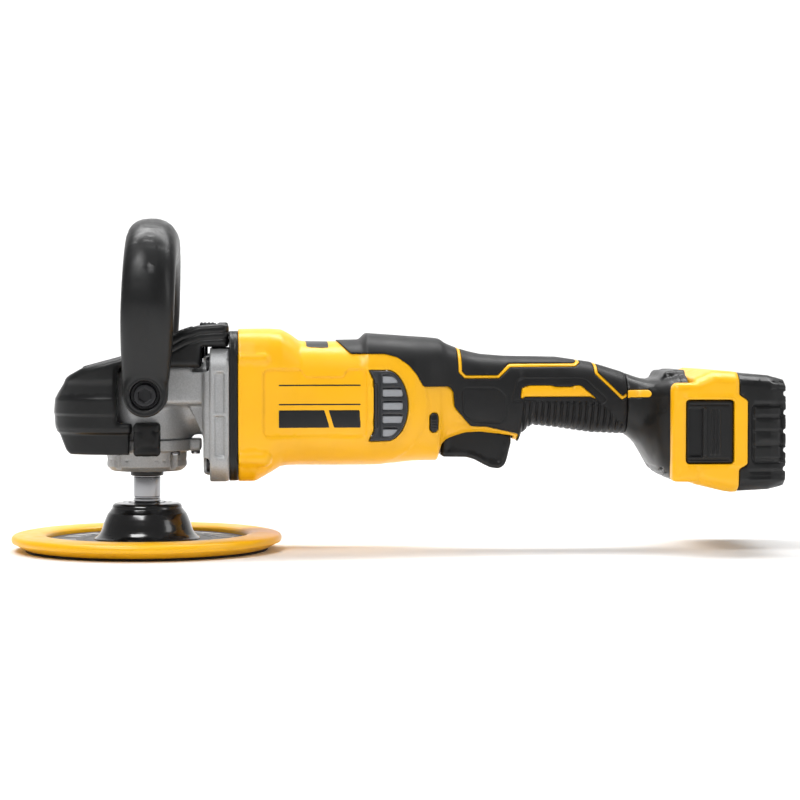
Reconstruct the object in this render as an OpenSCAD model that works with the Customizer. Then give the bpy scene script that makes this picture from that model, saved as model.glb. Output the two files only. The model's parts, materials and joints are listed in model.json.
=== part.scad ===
// Cordless rotary polisher: right-angle gear head with a backing pad, bail handle,
// in-line brushless motor, rear grip with a paddle trigger, and a slide-on battery pack.
// Frame: +Z is the spindle axis, away from the work. The origin is the middle of the
// pad's working face. +X runs from the spindle to the battery. -Y is the left side.

/* [Pad] */
// Diameter of the backing pad's rim
pad_d = 175; // [150:1:180]
// Height of the pad's rim above its working face
pad_h = 11.5; // [10.5:0.1:13]
// Diameter of the hook face under the pad
hook_d = 157; // [130:1:160]
// Radius of the centring hole in the pad's working face
centring_r = 11; // [10.4:0.1:11.4]

/* [Gear head] */
// Radius of the spindle where it shows between the collar and the pad
spindle_r = 8.75; // [8.6:0.05:9]
// Height of the collar's lower face above the pad's working face
collar_z = 51.8; // [50:0.2:52]
// Radius of the spindle collar
collar_r = 25.8; // [24:0.2:27]
// Height of the bail handle's pivot
bail_z = 102; // [100:0.5:104]
// Half the width across the inner faces of the bail handle's arms
bail_gap = 44.5; // [44:0.5:46]
// Height of the bail handle's crossbar
grip_top = 215; // [205:1:225]

/* [Gears] */
// Module of the spur stage
spur_m = 0.75; // [0.75:0.01:0.76]
// Module of the bevel stage at its large end
bevel_m = 1.4; // [1.38:0.01:1.4]
// Teeth on the motor pinion
z_motor = 10; // [10:1:11]
// Teeth on the intermediate gear
z_counter = 32; // [32:2:34]
// Teeth on the bevel pinion
z_pinion = 9; // [9:1:10]
// Teeth on the bevel ring gear
z_ring = 32; // [31:1:32]

/* [Body] */
// Height of the motor's axis
motor_z = 93; // [92:0.25:94]
// Wall thickness of the clamshell
wall = 2.6; // [2.2:0.1:3]
// Thickness of the rubber overmould
rubber = 1.0; // [0.8:0.1:1.2]

/* [Battery] */
// Length of the battery pack, across the tool
pack_l = 117; // [110:1:118]
// Height of the battery pack along the tool, from its deck to its base
pack_h = 59.5; // [57:0.5:62]
// Width of the battery pack
pack_w = 78.5; // [76:0.5:80]

/* [Hidden] */
$fn = 64;
eps = 0.01;
hook_t = 1.6;            // thickness of the hook face
plate_z = [5.6, 7.2];    // lower and upper face of the pad's metal plate
run_gap = 0.03;          // radial clearance of a turning fit
part_gap = 0.3;          // gap between neighbouring pieces

yellow = [0.98, 0.70, 0.05];
black = [0.13, 0.13, 0.14];
dark = [0.20, 0.20, 0.21];
alu = [0.68, 0.68, 0.68];
steel = [0.75, 0.75, 0.76];
copper = [0.72, 0.42, 0.20];

// Gear positions
counter_z = motor_z + spur_m * (z_motor + z_counter) / 2;
ring_r = bevel_m * z_ring / 2;
pinion_r = bevel_m * z_pinion / 2;
ring_angle = atan(z_ring / z_pinion);
pinion_angle = 90 - ring_angle;
bevel_face = 0.70;       // inner end of the bevel teeth as a share of the outer end
pressure = 20;
spur_x = [40, 49];

// Head
case_r = 29;
case_top = 121;
case_base = 72.4;
case_wall = 3.5;
neck_w = 64;
neck_base = 94.7;
flange_x = [41, 53.5];
flange_w = 87;
flange_z = [46, 131.7];
flange_round = 15;
lug_x = 35.4;
bail_x = 1;
boss_y = bail_gap - 1.5;
lock_x = 37.6;           // spindle lock pin
lock_disc_r = 8;
lock_notches = 9;
lock_travel = 4;
carrier_x = [53.5, 59.2];

// Motor
front_bearing_x = [54.5, 59.5];
front_bearing_r = 8;
counter_x = [51.5, 56.5];
counter_bearing_r = 7;
fan_x = [62, 71];
stator_x = [80, 118];
rear_bearing_x = [131, 138];
stator_r = 27;
rotor_r = 14;
shaft_r = 4;

// Battery interface
deck_x = 349;            // plane of the battery's deck
foot_end_x = 348.6;
pack_z = 78.3;
near_y = -58;
rail_w = 46;

// Rear body: station along X, top, base, half width, and corner exponent of each section
STATIONS = [
    [59.2, 143.7, 45.4, 43.5, 5.0], [70, 143.9, 45.4, 43.5, 5.0], [80, 143.9, 51.0, 42.6, 4.8],
    [87, 143.4, 55.3, 41.6, 4.2], [93, 140.2, 55.3, 40.4, 3.8], [99, 135.8, 55.3, 39.6, 3.4],
    [124, 135.6, 55.1, 39.0, 3.2], [138, 135.9, 55.1, 38.6, 3.2], [142, 140.1, 55.1, 38.4, 3.2],
    [160, 138.9, 55.5, 37.5, 3.1], [172, 138.0, 56.8, 36.0, 3.0], [182, 137.3, 57.0, 32.5, 2.9],
    [189, 136.6, 57.0, 29.0, 2.9], [190.5, 136.0, 66.0, 28.0, 2.9], [194, 133.5, 70.0, 26.5, 2.9],
    [200, 131.0, 72.4, 24.5, 2.9], [208, 128.4, 74.2, 22.5, 2.8], [217, 126.4, 74.2, 20.8, 2.8],
    [233, 125.1, 71.5, 19.2, 2.7], [242.3, 124.9, 70.0, 18.6, 2.7], [243.3, 124.9, 75.5, 18.6, 2.7],
    [251, 124.8, 82.0, 18.2, 2.6], [267, 124.5, 80.3, 18.0, 2.6], [289.5, 121.2, 77.0, 18.2, 2.6],
    [312, 114.3, 76.0, 19.0, 2.6]
];
FOOT_STATIONS = [
    [312.3, 115.0, 75.2, 19.8, 2.6], [320, 112.2, 69.0, 22.0, 2.8], [326, 110.6, 60.0, 28.0, 3.2],
    [332, 111.6, 50.5, 36.0, 3.8], [338, 113.5, 46.8, 41.0, 4.6], [342, 114.0, 45.4, 41.8, 5.0],
    [348.6, 114.0, 45.0, 42.0, 5.0]
];
// Lower edge of the rubber overmould, seen from the side, from front to rear
OVERMOULD_EDGE = [
    [124.4, 150], [126, 132], [133, 127.3], [155, 127.3], [167.5, 122.8], [175.4, 114.7],
    [180.7, 105.8], [197.6, 105.8], [200.5, 102.3], [201, 92.5], [212, 79.5], [222.5, 79.2],
    [243.8, 74.2], [243.8, 60], [320, 60], [320, 150]
];
boss_r = 5;
SCREW_SPOTS = [[66, 134], [66, 55.5], [146.5, 123], [176, 64], [225, 118], [303, 84]];

// Section of the rear body at x, between its two nearest stations
function section_at(x, i = 0) =
    i >= len(STATIONS) - 2 || STATIONS[i + 1][0] > x
    ? let (a = STATIONS[i], b = STATIONS[i + 1]) a + (b - a) * (x - a[0]) / (b[0] - a[0])
    : section_at(x, i + 1);

// Half width of the rear body at x, at the height that a boss of radius r reaches farthest out
function skin_y(x, z, r) =
    let (s = section_at(x), zc = (s[1] + s[2]) / 2, u = (abs(z - zc) + r) / ((s[1] - s[2]) / 2))
    s[3] * pow(max(0, 1 - pow(u, s[4])), 1 / s[4]);

// ---------- Generic shapes ----------

// Turns a shape that stands on the XY plane so that it runs along X from x0
module along_x(x0) {
    translate([x0, 0, 0]) rotate([90, 0, 90]) children();
}

module x_rod(x0, x1, z, r) {
    translate([x0, 0, z]) rotate([0, 90, 0]) cylinder(h = x1 - x0, r = r);
}

module y_rod(y0, y1, x, z, r) {
    translate([x, y1, z]) rotate([90, 0, 0]) cylinder(h = y1 - y0, r = r);
}

module x_tube(x0, x1, z, r_out, r_in) {
    translate([x0, 0, z]) rotate([0, 90, 0])
        rotate_extrude() translate([r_in, 0]) square([r_out - r_in, x1 - x0]);
}

module z_tube(z0, z1, r_out, r_in) {
    translate([0, 0, z0]) rotate_extrude() translate([r_in, 0]) square([r_out - r_in, z1 - z0]);
}

// A side outline in X and Z, as a slab between two values of Y
module side_slab(y0, y1) {
    translate([0, y1, 0]) rotate([90, 0, 0]) linear_extrude(height = y1 - y0) children();
}

// Rounded rectangle in Y and Z
module rounded(w, z0, z1, r) {
    hull() for (y = [-1, 1], z = [z0 + r, z1 - r]) translate([y * (w / 2 - r), z]) circle(r = r);
}

module at_sides() {
    children();
    mirror([0, 1, 0]) children();
}

// Ball bearing about Z with two rings and a shield between them
module bearing(r_in, r_out, width) {
    third = (r_out - r_in) / 3;
    z_tube(0, width, r_in + third, r_in);
    z_tube(0, width, r_out, r_out - third);
    z_tube(0.4, width - 0.4, r_out - third - 0.05, r_in + third + 0.05);
}

module bearing_x(x0, x1, z, r_in, r_out) {
    translate([x0, 0, z]) rotate([0, 90, 0]) bearing(r_in, r_out, x1 - x0);
}

// Socket cap screw along +Z with its head's top at z = 0
module screw(shank_r, shank_l, head_r, head_h) {
    difference() {
        translate([0, 0, -head_h]) cylinder(h = head_h, r = head_r);
        translate([0, 0, -head_h * 0.6]) cylinder(h = head_h, r = head_r * 0.55, $fn = 6);
    }
    translate([0, 0, -head_h - shank_l]) cylinder(h = shank_l, r = shank_r);
}

// ---------- Lofted shells ----------

function sign_pow(v, e) = v < 0 ? -pow(-v, e) : pow(v, e);

// Point of a section's outline at angle t, grown by d: t runs from -90 below to 90 on top
function outline_point(s, t, d) =
    let (zc = (s[1] + s[2]) / 2, hh = (s[1] - s[2]) / 2 + d, hw = s[3] + d, e = 2 / s[4])
    [s[0], hw * sign_pow(cos(t), e), zc + hh * sign_pow(sin(t), e)];

// C-shaped outline of half a shell between the offsets d_out and d_in
function half_outline(s, d_out, d_in, steps) = concat(
    [for (i = [0:steps]) outline_point(s, -90 + 180 * i / steps, d_out)],
    [for (i = [steps:-1:0]) outline_point(s, -90 + 180 * i / steps, d_in)]
);

// Triangles between successive rings. The second half of each ring is split along the other diagonal, so
// that the inside and the outside of a C-shaped outline are split alike.
function sweep_sides(n, rings) = [
    for (k = [0:rings - 2], i = [0:n - 1])
        let (
            j = (i + 1) % n,
            q = [k * n + i, (k + 1) * n + i, (k + 1) * n + j, k * n + j]
        )
        each i < n / 2 ? [[q[0], q[1], q[2]], [q[0], q[2], q[3]]] : [[q[0], q[1], q[3]], [q[1], q[2], q[3]]]
];

// Strips that close the first or last ring of a C-shaped outline
function half_cap(n, base, flip) = [
    for (i = [0:n / 2 - 2])
        let (q = [base + i, base + i + 1, base + n - 2 - i, base + n - 1 - i])
        flip ? [q[3], q[2], q[1], q[0]] : q
];

// Half of a lofted shell on the +Y side
module half_shell(stations, d_out, d_in, steps = 14) {
    rings = len(stations);
    n = 2 * (steps + 1);
    pts = [for (s = stations) each half_outline(s, d_out, d_in, steps)];
    polyhedron(
        points = pts,
        faces = concat(sweep_sides(n, rings), half_cap(n, 0, false), half_cap(n, (rings - 1) * n, true)),
        convexity = 6
    );
}

// Closed lofted tube between two offsets
module tube_shell(stations, d_out, d_in, steps = 28) {
    rings = len(stations);
    outer = [for (s = stations) each [for (i = [0:steps - 1]) full_point(s, 360 * i / steps, d_out)]];
    inner = [for (s = stations) each [for (i = [0:steps - 1]) full_point(s, 360 * i / steps, d_in)]];
    off = rings * steps;
    last = (rings - 1) * steps;
    side = sweep_sides(steps, rings);
    polyhedron(
        points = concat(outer, inner),
        faces = concat(
            side,
            [for (f = side) [f[2] + off, f[1] + off, f[0] + off]],
            [for (i = [0:steps - 1]) let (j = (i + 1) % steps) [i, j, j + off, i + off]],
            [for (i = [0:steps - 1]) let (j = (i + 1) % steps)
                [last + j, last + i, last + i + off, last + j + off]]
        ),
        convexity = 6
    );
}

function full_point(s, t, d) =
    let (zc = (s[1] + s[2]) / 2, hh = (s[1] - s[2]) / 2 + d, hw = s[3] + d, e = 2 / s[4])
    [s[0], hw * sign_pow(cos(t), e), zc + hh * sign_pow(sin(t), e)];

// ---------- Gear teeth ----------

// Involute of an angle, in degrees
function inv(a) = tan(a) * 180 / PI - a;

// Half the tooth's angle at radius p, for pitch radius r, z teeth and backlash b
function half_tooth(p, r, z, b) =
    let (rb = r * cos(pressure), c = min(1, rb / max(p, rb)))
    90 / z - b / (2 * r) * 180 / PI + inv(pressure) - inv(acos(c));

function flank(r, z, add, ded, b) =
    [for (h = [-ded, -ded / 3, add / 2, add]) [r + h, half_tooth(r + h, r, z, b)]];

// Spur gear outline with a tooth centred at angle a0
module spur_outline(z, m, add, ded, b, a0) {
    f = flank(z * m / 2, z, add * m, ded * m, b);
    polygon([for (i = [0:z - 1], s = [-1, 1], k = [0:3])
        let (p = f[s < 0 ? k : 3 - k], a = a0 + 360 * i / z + s * p[1])
        p[0] * [cos(a), sin(a)]]);
}

// Rings of tooth points of a bevel gear about Z, apex at the origin, scaled by k
function bevel_ring(z, m, angle, add, ded, b, a0, k) =
    let (r = z * m / 2, rv = r / cos(angle), cone = r / sin(angle),
         f = flank(rv, z / cos(angle), add * m, ded * m, b))
    [for (i = [0:z - 1], s = [-1, 1], j = [0:3])
        let (p = f[s < 0 ? j : 3 - j], h = p[0] - rv, a = a0 + 360 * i / z + s * p[1] / cos(angle),
             radial = cone * sin(angle) + h * cos(angle), axial = cone * cos(angle) - h * sin(angle))
        k * [radial * cos(a), radial * sin(a), -axial]];

// Bevel gear blank with teeth, apex at the origin, body towards -Z
module bevel_teeth(z, m, angle, add, ded, b, a0, back, front) {
    n = 8 * z;
    pts = concat(
        bevel_ring(z, m, angle, add, ded, b, a0, 1),
        bevel_ring(z, m, angle, add, ded, b, a0, bevel_face),
        [[0, 0, back], [0, 0, front]]
    );
    polyhedron(
        points = pts,
        faces = concat(
            [for (i = [0:n - 1]) [i, n + i, n + (i + 1) % n, (i + 1) % n]],
            [for (i = [0:n - 1]) [i, (i + 1) % n, 2 * n]],
            [for (i = [0:n - 1]) [n + (i + 1) % n, n + i, 2 * n + 1]]
        ),
        convexity = 8
    );
}

// ---------- Gear head ----------

module flange_outline(inset) {
    rounded(flange_w - 2 * inset, flange_z[0] + inset, flange_z[1] - inset, flange_round);
}

FLANGE_SCREWS = [for (y = [-33, 33], z = [57, 121]) [y, z]];

module gear_case() {
    color(alu) difference() {
        union() {
            translate([0, 0, case_base]) cylinder(h = case_top - case_base, r = case_r);
            translate([0, -neck_w / 2, neck_base])
                cube([flange_x[0] + 1, neck_w, case_top - neck_base]);
            along_x(flange_x[0]) linear_extrude(height = flange_x[1] - flange_x[0])
                flange_outline(0);
            along_x(flange_x[0] - 4) linear_extrude(height = 4 + eps) flange_outline(4);
            x_rod(20, flange_x[0], motor_z, 18);
            at_sides() y_rod(20, boss_y, bail_x, bail_z, 12);
        }
        // gear chamber with a ring round the upper spindle bearing
        difference() {
            translate([0, 0, case_base - 1])
                cylinder(h = case_top - case_base + 1 - case_wall, r = case_r - case_wall);
            z_tube(112, case_top, 13, 10.5);
        }
        // bearing seat and bore of the bevel pinion's shaft
        x_rod(20, 26, counter_z, 9.5);
        x_rod(26 - eps, 36, counter_z, 11);
        x_rod(36 - eps, 39.2, counter_z, 9.5);
        x_rod(39.2 - eps, flange_x[1] + 1, counter_z, 14.5);
        x_rod(37, flange_x[1] + 1, motor_z, 8);
        translate([39.2, -8, motor_z]) cube([flange_x[1] - 38, 16, counter_z - motor_z]);
        // spindle lock bore
        translate([lock_x, 0, counter_z + 5]) cylinder(h = 35, r = 2.1);
        // upper spindle bearing seat
        translate([0, 0, case_top - case_wall - eps]) cylinder(h = 1, r = 5.5);
        // threads of the bail bolts and flange screws
        at_sides() y_rod(24, bail_gap + 1, bail_x, bail_z, 4);
        for (s = FLANGE_SCREWS) {
            translate([0, s[0], 0]) x_rod(flange_x[0] - 5, flange_x[0] + 2, s[1], 4.6);
            translate([0, s[0], 0]) x_rod(flange_x[0] + 1, flange_x[1] + 1, s[1], 2.3);
        }
    }
}

module flange_screws() {
    color(black) for (s = FLANGE_SCREWS)
        translate([flange_x[0] - 2, s[0], s[1]]) rotate([0, -90, 0]) screw(2.2, 28, 4.3, 3.9);
}

module spindle_collar() {
    color(alu) difference() {
        union() {
            translate([0, 0, collar_z]) rotate_extrude() polygon([
                [0, 0], [collar_r - 3, 0], [collar_r, 3], [collar_r, 14], [0, 14]
            ]);
            translate([0, 0, 65]) cylinder(h = case_base - 65, r = case_r + 1.5);
            translate([0, -12, 65]) cube([lug_x, 24, case_base - 65]);
        }
        translate([0, 0, collar_z + 2.2]) cylinder(h = 40, r = 20);
        translate([0, 0, collar_z - 1]) cylinder(h = 6, r = 11);
        collar_screw_places() translate([0, 0, -20]) cylinder(h = 40, r = 2);
        collar_screw_places() translate([0, 0, -20]) cylinder(h = 20, r = 3.3);
        translate([31.5, 0, 60]) cylinder(h = 20, r = 2);
    }
}

module collar_screw_places() {
    for (a = [45:90:315]) rotate([0, 0, a]) translate([27.2, 0, 65]) children();
}

module collar_screws() {
    color(steel) {
        collar_screw_places() rotate([180, 0, 0]) translate([0, 0, 2.6]) screw(1.9, 6.8, 3.0, 2.6);
        translate([31.5, 0, 65]) rotate([180, 0, 0]) translate([0, 0, 2.6]) screw(1.9, 6.8, 3.4, 2.6);
    }
}

// Side outline of the black head cover: bumper nose, roof, and the saddle over the flange
module cover_outline() {
    polygon([
        [-60.8, 90], [-59.1, 100.3], [-49.7, 112.8], [-39.9, 117.6], [-16.8, 123.6],
        [0, 129], [12, 136.5], [22.3, 142.2], [34, 146], [50, 147], [53.2, 146], [53.2, 132],
        [36, 131.9], [36, 118.8], [-17, 118.8], [-17, 84.2], [-7.6, 84.2], [-7.6, 61.3],
        [-48.7, 61.4], [-52.3, 64.5], [-60, 81.1]
    ]);
}

module cover_plan(d) {
    hull() {
        translate([-22.5, 0]) circle(r = 38.4 - d, $fn = 96);
        translate([20, 0]) square([2, 2 * (36 - d)], center = true);
    }
    translate([20, -33 + d]) square([35, 66 - 2 * d]);
}

module head_cover() {
    color(black) difference() {
        intersection() {
            side_slab(-40, 40) cover_outline();
            translate([0, 0, 50]) linear_extrude(height = 110) cover_plan(0);
        }
        // room for the gear case and the collar
        translate([0, 0, 40]) cylinder(h = case_top + part_gap - 40, r = case_r + 2);
        translate([-5, -neck_w / 2 - part_gap, 60])
            cube([80, neck_w + 2 * part_gap, case_top + part_gap - 60]);
        translate([36, -36, 60]) cube([30, 72, flange_z[1] + part_gap - 60]);
        // hollow nose
        intersection() {
            translate([-58, -40, 64.5]) cube([60, 80, 52]);
            translate([0, 0, 50]) linear_extrude(height = 110) cover_plan(3);
            side_slab(-40, 40) translate([3.2, 0]) polygon([
                [-60.8, 90], [-59.1, 99], [-49.7, 110], [-39.9, 114.6], [-16.8, 116], [20, 116],
                [20, 64], [-48, 64], [-52.3, 66], [-60, 82]
            ]);
        }
        // hollow saddle
        translate([12, -29, case_top]) cube([38, 58, 13]);
        translate([lock_x, 0, 120]) cylinder(h = 40, r = 2.3);
        translate([lock_x - 3.6, -7.4, 138.2]) cube([11.4, 14.8, 15]);
        at_sides() y_rod(20, 50, bail_x, bail_z, 14.5);
    }
}

// Soft pads on both sides of the head, below the bail handle
module side_pads() {
    color(black) at_sides() difference() {
        translate([-7.2, 25, 62.6]) cube([17, 15, 21.4]);
        translate([0, 0, 40]) cylinder(h = 60, r = case_r);
        translate([0, 0, 40]) cylinder(h = case_base - 40, r = case_r + 1.5);
        for (x = [-3, 5.6]) translate([x, 35.5, 60]) cylinder(h = 12, r = 1.2);
    }
}

module side_pad_screws() {
    color(steel) at_sides() for (x = [-3, 5.6])
        translate([x, 35.5, 61]) rotate([180, 0, 0]) screw(1.2, 8, 2.4, 1.6);
}

module bearing_carrier() {
    color(dark) difference() {
        along_x(carrier_x[0]) linear_extrude(height = carrier_x[1] - carrier_x[0])
            rounded(85.4, 46.4, 142.4, 16);
        x_rod(front_bearing_x[0], carrier_x[1] + 1, motor_z, front_bearing_r);
        x_rod(carrier_x[0] - 1, carrier_x[1], motor_z, 5.5);
        x_rod(carrier_x[0] - 1, counter_x[1], counter_z, counter_bearing_r);
        for (s = FLANGE_SCREWS) translate([0, s[0], 0]) x_rod(carrier_x[0] - 1, carrier_x[1] + 1, s[1], 2.4);
        // exhaust slots
        for (a = [-1, 1]) translate([carrier_x[0] - 1, a * 26 - 5, 68]) cube([8, 10, 24]);
    }
}

// ---------- Bail handle ----------

bail_lean = 2.2;         // the handle leans back towards the battery
arm_t = 15;
arm_out = bail_gap + arm_t;
crossbar_r = 16.3;
grip_half = 74;          // half the width across the handle at its widest

// Centre of the handle's bar at position t, from the left pivot (0) to the right one (1)
function bail_centre(t) =
    let (u = abs(2 * t - 1), side = t < 0.5 ? -1 : 1,
         top_z = grip_top - crossbar_r, foot_y = bail_gap + arm_t / 2, grip_y = grip_half - 9,
         c = 40)
    u < 0.28 ? [side * (grip_y - c) * u / 0.28, top_z]
    : u < 0.58 ? let (a = (u - 0.28) / 0.30 * 90)
        [side * (grip_y - c + c * sin(a)), top_z - c + c * cos(a)]
    : let (v = (u - 0.58) / 0.42, w = v * v * (3 - 2 * v))
        [side * (grip_y + (foot_y - grip_y) * w), top_z - c + (bail_z - top_z + c) * v];

// Half sizes of the bar's section, along X and across it
function bail_half(t) =
    let (u = abs(2 * t - 1))
    u < 0.28 ? [crossbar_r, crossbar_r - 0.8]
    : u < 0.58 ? let (v = (u - 0.28) / 0.30)
        [crossbar_r + 0.4 * v, crossbar_r - 0.8 - 6 * v]
    : let (v = (u - 0.58) / 0.42) [crossbar_r + 0.4 - 2.9 * pow(v, 2), 9.5 - 2 * v];

module bail_bar() {
    rings = 37;
    steps = 24;
    pts = [for (k = [0:rings - 1]) let (
            t = k / (rings - 1), c = bail_centre(t), h = bail_half(t),
            a = bail_centre(max(0, t - 0.01)), b = bail_centre(min(1, t + 0.01)),
            d = (b - a) / norm(b - a))
        each [for (i = [0:steps - 1]) let (
                p = 360 * i / steps, x = h[0] * sign_pow(cos(p), 0.85), n = h[1] * sign_pow(sin(p), 0.85))
            [x, c[0] + n * d[1], c[1] - n * d[0]]]];
    polyhedron(
        points = pts,
        faces = concat(
            sweep_sides(steps, rings),
            [[for (i = [0:steps - 1]) i]],
            [[for (i = [steps - 1:-1:0]) (rings - 1) * steps + i]]
        ),
        convexity = 6
    );
}

module bail_handle() {
    color(black) translate([bail_x, 0, bail_z]) rotate([0, bail_lean, 0]) translate([0, 0, -bail_z])
        difference() {
            union() {
                bail_bar();
                at_sides() y_rod(bail_gap, arm_out, 0, bail_z, 13.8);
            }
            at_sides() y_rod(bail_gap - 1, arm_out + 10, 0, bail_z, 5.2);
            at_sides() y_rod(arm_out - 8, arm_out + 10, 0, bail_z, 9.3);
        }
}

module bail_bolts() {
    color(black) at_sides() difference() {
        union() {
            y_rod(26, boss_y, bail_x, bail_z, 4);
            y_rod(boss_y, arm_out - 6.5, bail_x, bail_z, 5.2 - run_gap);
            y_rod(arm_out - 6.5, arm_out - 1.5, bail_x, bail_z, 7.5);
        }
        translate([bail_x, arm_out - 1, bail_z]) rotate([90, 0, 0]) cylinder(h = 4, r = 4.6, $fn = 6);
    }
}

module bail_washers() {
    color(steel) at_sides() translate([bail_x, arm_out - 6.5, bail_z]) rotate([90, 0, 0])
        z_tube(0, 1.4, 8.8, 5.3);
}

// ---------- Rear body ----------

module trigger_slot() {
    translate([191.3, -10.2, 50]) cube([46.5, 20.4, 34]);
}

module housing_half() {
    difference() {
        union() {
            half_shell(STATIONS, 0, -wall);
            housing_ribs();
        }
        side_slab(20, 45) vent_outline(0.3);
        translate([dial_x - 11, -1, 126]) cube([22, 5.4, 20]);
        y_rod(3, 12, dial_x, dial_z, 1.5 + run_gap);
        y_rod(3, 30, trigger_pivot[0], trigger_pivot[1], 1.6);
        for (z = [FLANGE_SCREWS[0][1], FLANGE_SCREWS[1][1]]) translate([0, 33, 0]) x_rod(58, 72, z, 2.2);
        for (s = SCREW_SPOTS) y_rod(-1, 17, s[0], s[1], 1.6);
        trigger_slot();
    }
}

// Stator rings, bearing shelf, screw bosses, and the seats of the trigger pin and the speed dial
module housing_ribs() {
    intersection() {
        for (x = [88, 108]) x_tube(x, x + 2, motor_z, 37.3, stator_r);
        translate([80, 0, 40]) cube([40, 50, 110]);
    }
    for (z = [FLANGE_SCREWS[0][1], FLANGE_SCREWS[1][1]]) translate([0, 33, 0]) x_rod(59.2, 71, z, 5.8);
    translate([59.2, 33, FLANGE_SCREWS[1][1] - 2]) cube([11.8, 8, 4]);
    for (s = SCREW_SPOTS) y_rod(0, skin_y(s[0], s[1], boss_r) - wall + 0.6, s[0], s[1], boss_r);
    y_rod(10.4, trigger_seat, trigger_pivot[0], trigger_pivot[1], 3.6);
    y_rod(5, 9, dial_x, dial_z, 3.6);
    translate([dial_x - 3, 5, dial_z]) cube([6, 4, 9]);
}

module housing_left() {
    color(yellow) difference() {
        mirror([0, 1, 0]) housing_half();
        lock_on_hole();
    }
}

module housing_right() {
    color(yellow) difference() {
        housing_half();
        screw_recesses();
    }
}

module lock_on_hole() {
    for (s = [-1, 1]) y_rod(-45, -10, lock_c[0], lock_c[1] + s * 3.4, 3);
    translate([lock_c[0] - 3, -45, lock_c[1] - 3.4]) cube([6, 35, 6.8]);
}

module screw_recesses() {
    for (s = SCREW_SPOTS) y_rod(11, 60, s[0], s[1], 3.4);
}

module overmould_half() {
    difference() {
        intersection() {
            half_shell(STATIONS, rubber, eps, 14);
            side_slab(0, 60) polygon(OVERMOULD_EDGE);
        }
        translate([dial_x - 11, -1, 128]) cube([22, 5.4, 20]);
        trigger_slot();
    }
}

module overmould_left() {
    color(black) mirror([0, 1, 0]) overmould_half();
}

module overmould_right() {
    color(black) difference() {
        overmould_half();
        screw_recesses();
    }
}

// Clamshell screws, entered from the right side
module housing_screws() {
    color(steel) for (s = SCREW_SPOTS)
        translate([s[0], 14, s[1]]) rotate([-90, 0, 0]) screw(1.6, 19, 3.1, 3);
}

// D-shaped outline of the wool shield in the side vents
module vent_outline(d) {
    polygon(concat(
        [[142.6 - d, 71.9 - d], [145.8 - d, 78.5], [145.8 - d, 110.8], [142.6 - d, 117.2 + d]],
        [for (a = [80:-10:-80]) [153.5 + (14 + d) * cos(a), 94.55 + (22.65 + d) * sin(a)]]
    ));
}

vent_rows = 5;
vent_pitch = 8.5;

module vent_shield_right() {
    color(dark) difference() {
        side_slab(35.5, 39.4) vent_outline(0);
        for (i = [0:vent_rows - 1])
            translate([151.3, 30, 94.55 + (i - 2) * vent_pitch - 2.7])
                cube([(i == 0 || i == 4) ? 9.5 : 12.8, 20, 5.4]);
    }
}

module vent_shield_left() {
    mirror([0, 1, 0]) vent_shield_right();
}

module vent_mesh_right() {
    color(alu) side_slab(34.2, 35.4) vent_outline(-2.2);
}

module vent_mesh_left() {
    mirror([0, 1, 0]) vent_mesh_right();
}

// ---------- Battery foot ----------

module battery_foot() {
    inner = [for (s = FOOT_STATIONS) if (s[0] > 330) [s[0], s[1] - 1, s[2] + 1, s[3] - 1, s[4]]];
    color(black) difference() {
        union() {
            tube_shell(FOOT_STATIONS, 0, -wall);
            intersection() {
                translate([foot_end_x - 10, -50, 40]) cube([10 - eps, 100, 90]);
                tube_shell(inner, 0, -20);
            }
            translate([foot_end_x - 10, -22, pack_z - 20]) cube([3, 44, 40]);
        }
        // channel for the battery's rails, open on the left
        translate([foot_end_x - 6.7, -60, pack_z - rail_w / 2 - 4]) cube([10, 98, rail_w + 8]);
        // window of the terminals
        translate([foot_end_x - 11, -14, pack_z - 12]) cube([5, 26, 24]);
    }
}

// Steel-backed rails that the pack's tongue slides behind
module foot_rails() {
    color(dark) for (s = [-1, 1])
        translate([foot_end_x - 3.2, -41, pack_z + s * 23.5 - 3.5]) cube([2.8, 78, 7]);
}

module terminal_block() {
    color(dark) translate([foot_end_x - 16.2, -14, pack_z - 15]) cube([6, 30, 30]);
    color(copper) for (z = [-9, -3, 3, 9])
        translate([foot_end_x - 10.3, -12, pack_z + z - 0.4]) cube([5.6, 20, 0.8]);
}

// ---------- Controls ----------

lock_c = [184.8, 83.4];
dial_x = 161;
dial_z = 128.4;
trigger_pivot = [197, 77];
trigger_seat = skin_y(trigger_pivot[0], trigger_pivot[1], 3.6) - 0.6;

module trigger() {
    color(black) difference() {
        side_slab(-9.6, 9.6) polygon(concat(
            [[192.3, 72], [191.8, 62.4], [193.5, 60.2], [206, 60]],
            [for (a = [0:15:45]) [206 + 16 * sin(a) * 1.15, 60 - 16 * (1 - cos(a)) * 1.15]],
            [[225.4, 53.4]],
            [for (a = [-110:20:-10]) [229.3 + 4.6 * cos(a), 57.0 + 4.6 * sin(a)]],
            [[236.6, 70.5], [236.6, 75], [205, 81.5], [193.4, 81.5]]
        ));
        y_rod(-12, 12, trigger_pivot[0], trigger_pivot[1], 1.6 + run_gap);
        translate([201.5, -7.4, 63]) cube([27, 14.8, 20]);
    }
}

module trigger_pin() {
    color(steel) y_rod(-trigger_seat + 0.5, trigger_seat - 0.5, trigger_pivot[0], trigger_pivot[1], 1.6);
}

module switch_module() {
    color(dark) translate([202, -7, 83]) cube([34, 14, 22]);
}

module control_module() {
    color(dark) translate([252, -12, 88]) cube([46, 24, 24]);
}

module lock_on_button() {
    color(black) {
        for (s = [-1, 1]) y_rod(-31.4, -22, lock_c[0], lock_c[1] + s * 3.4, 2.7);
        translate([lock_c[0] - 2.7, -31.4, lock_c[1] - 3.4]) cube([5.4, 9.4, 6.8]);
    }
}

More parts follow.
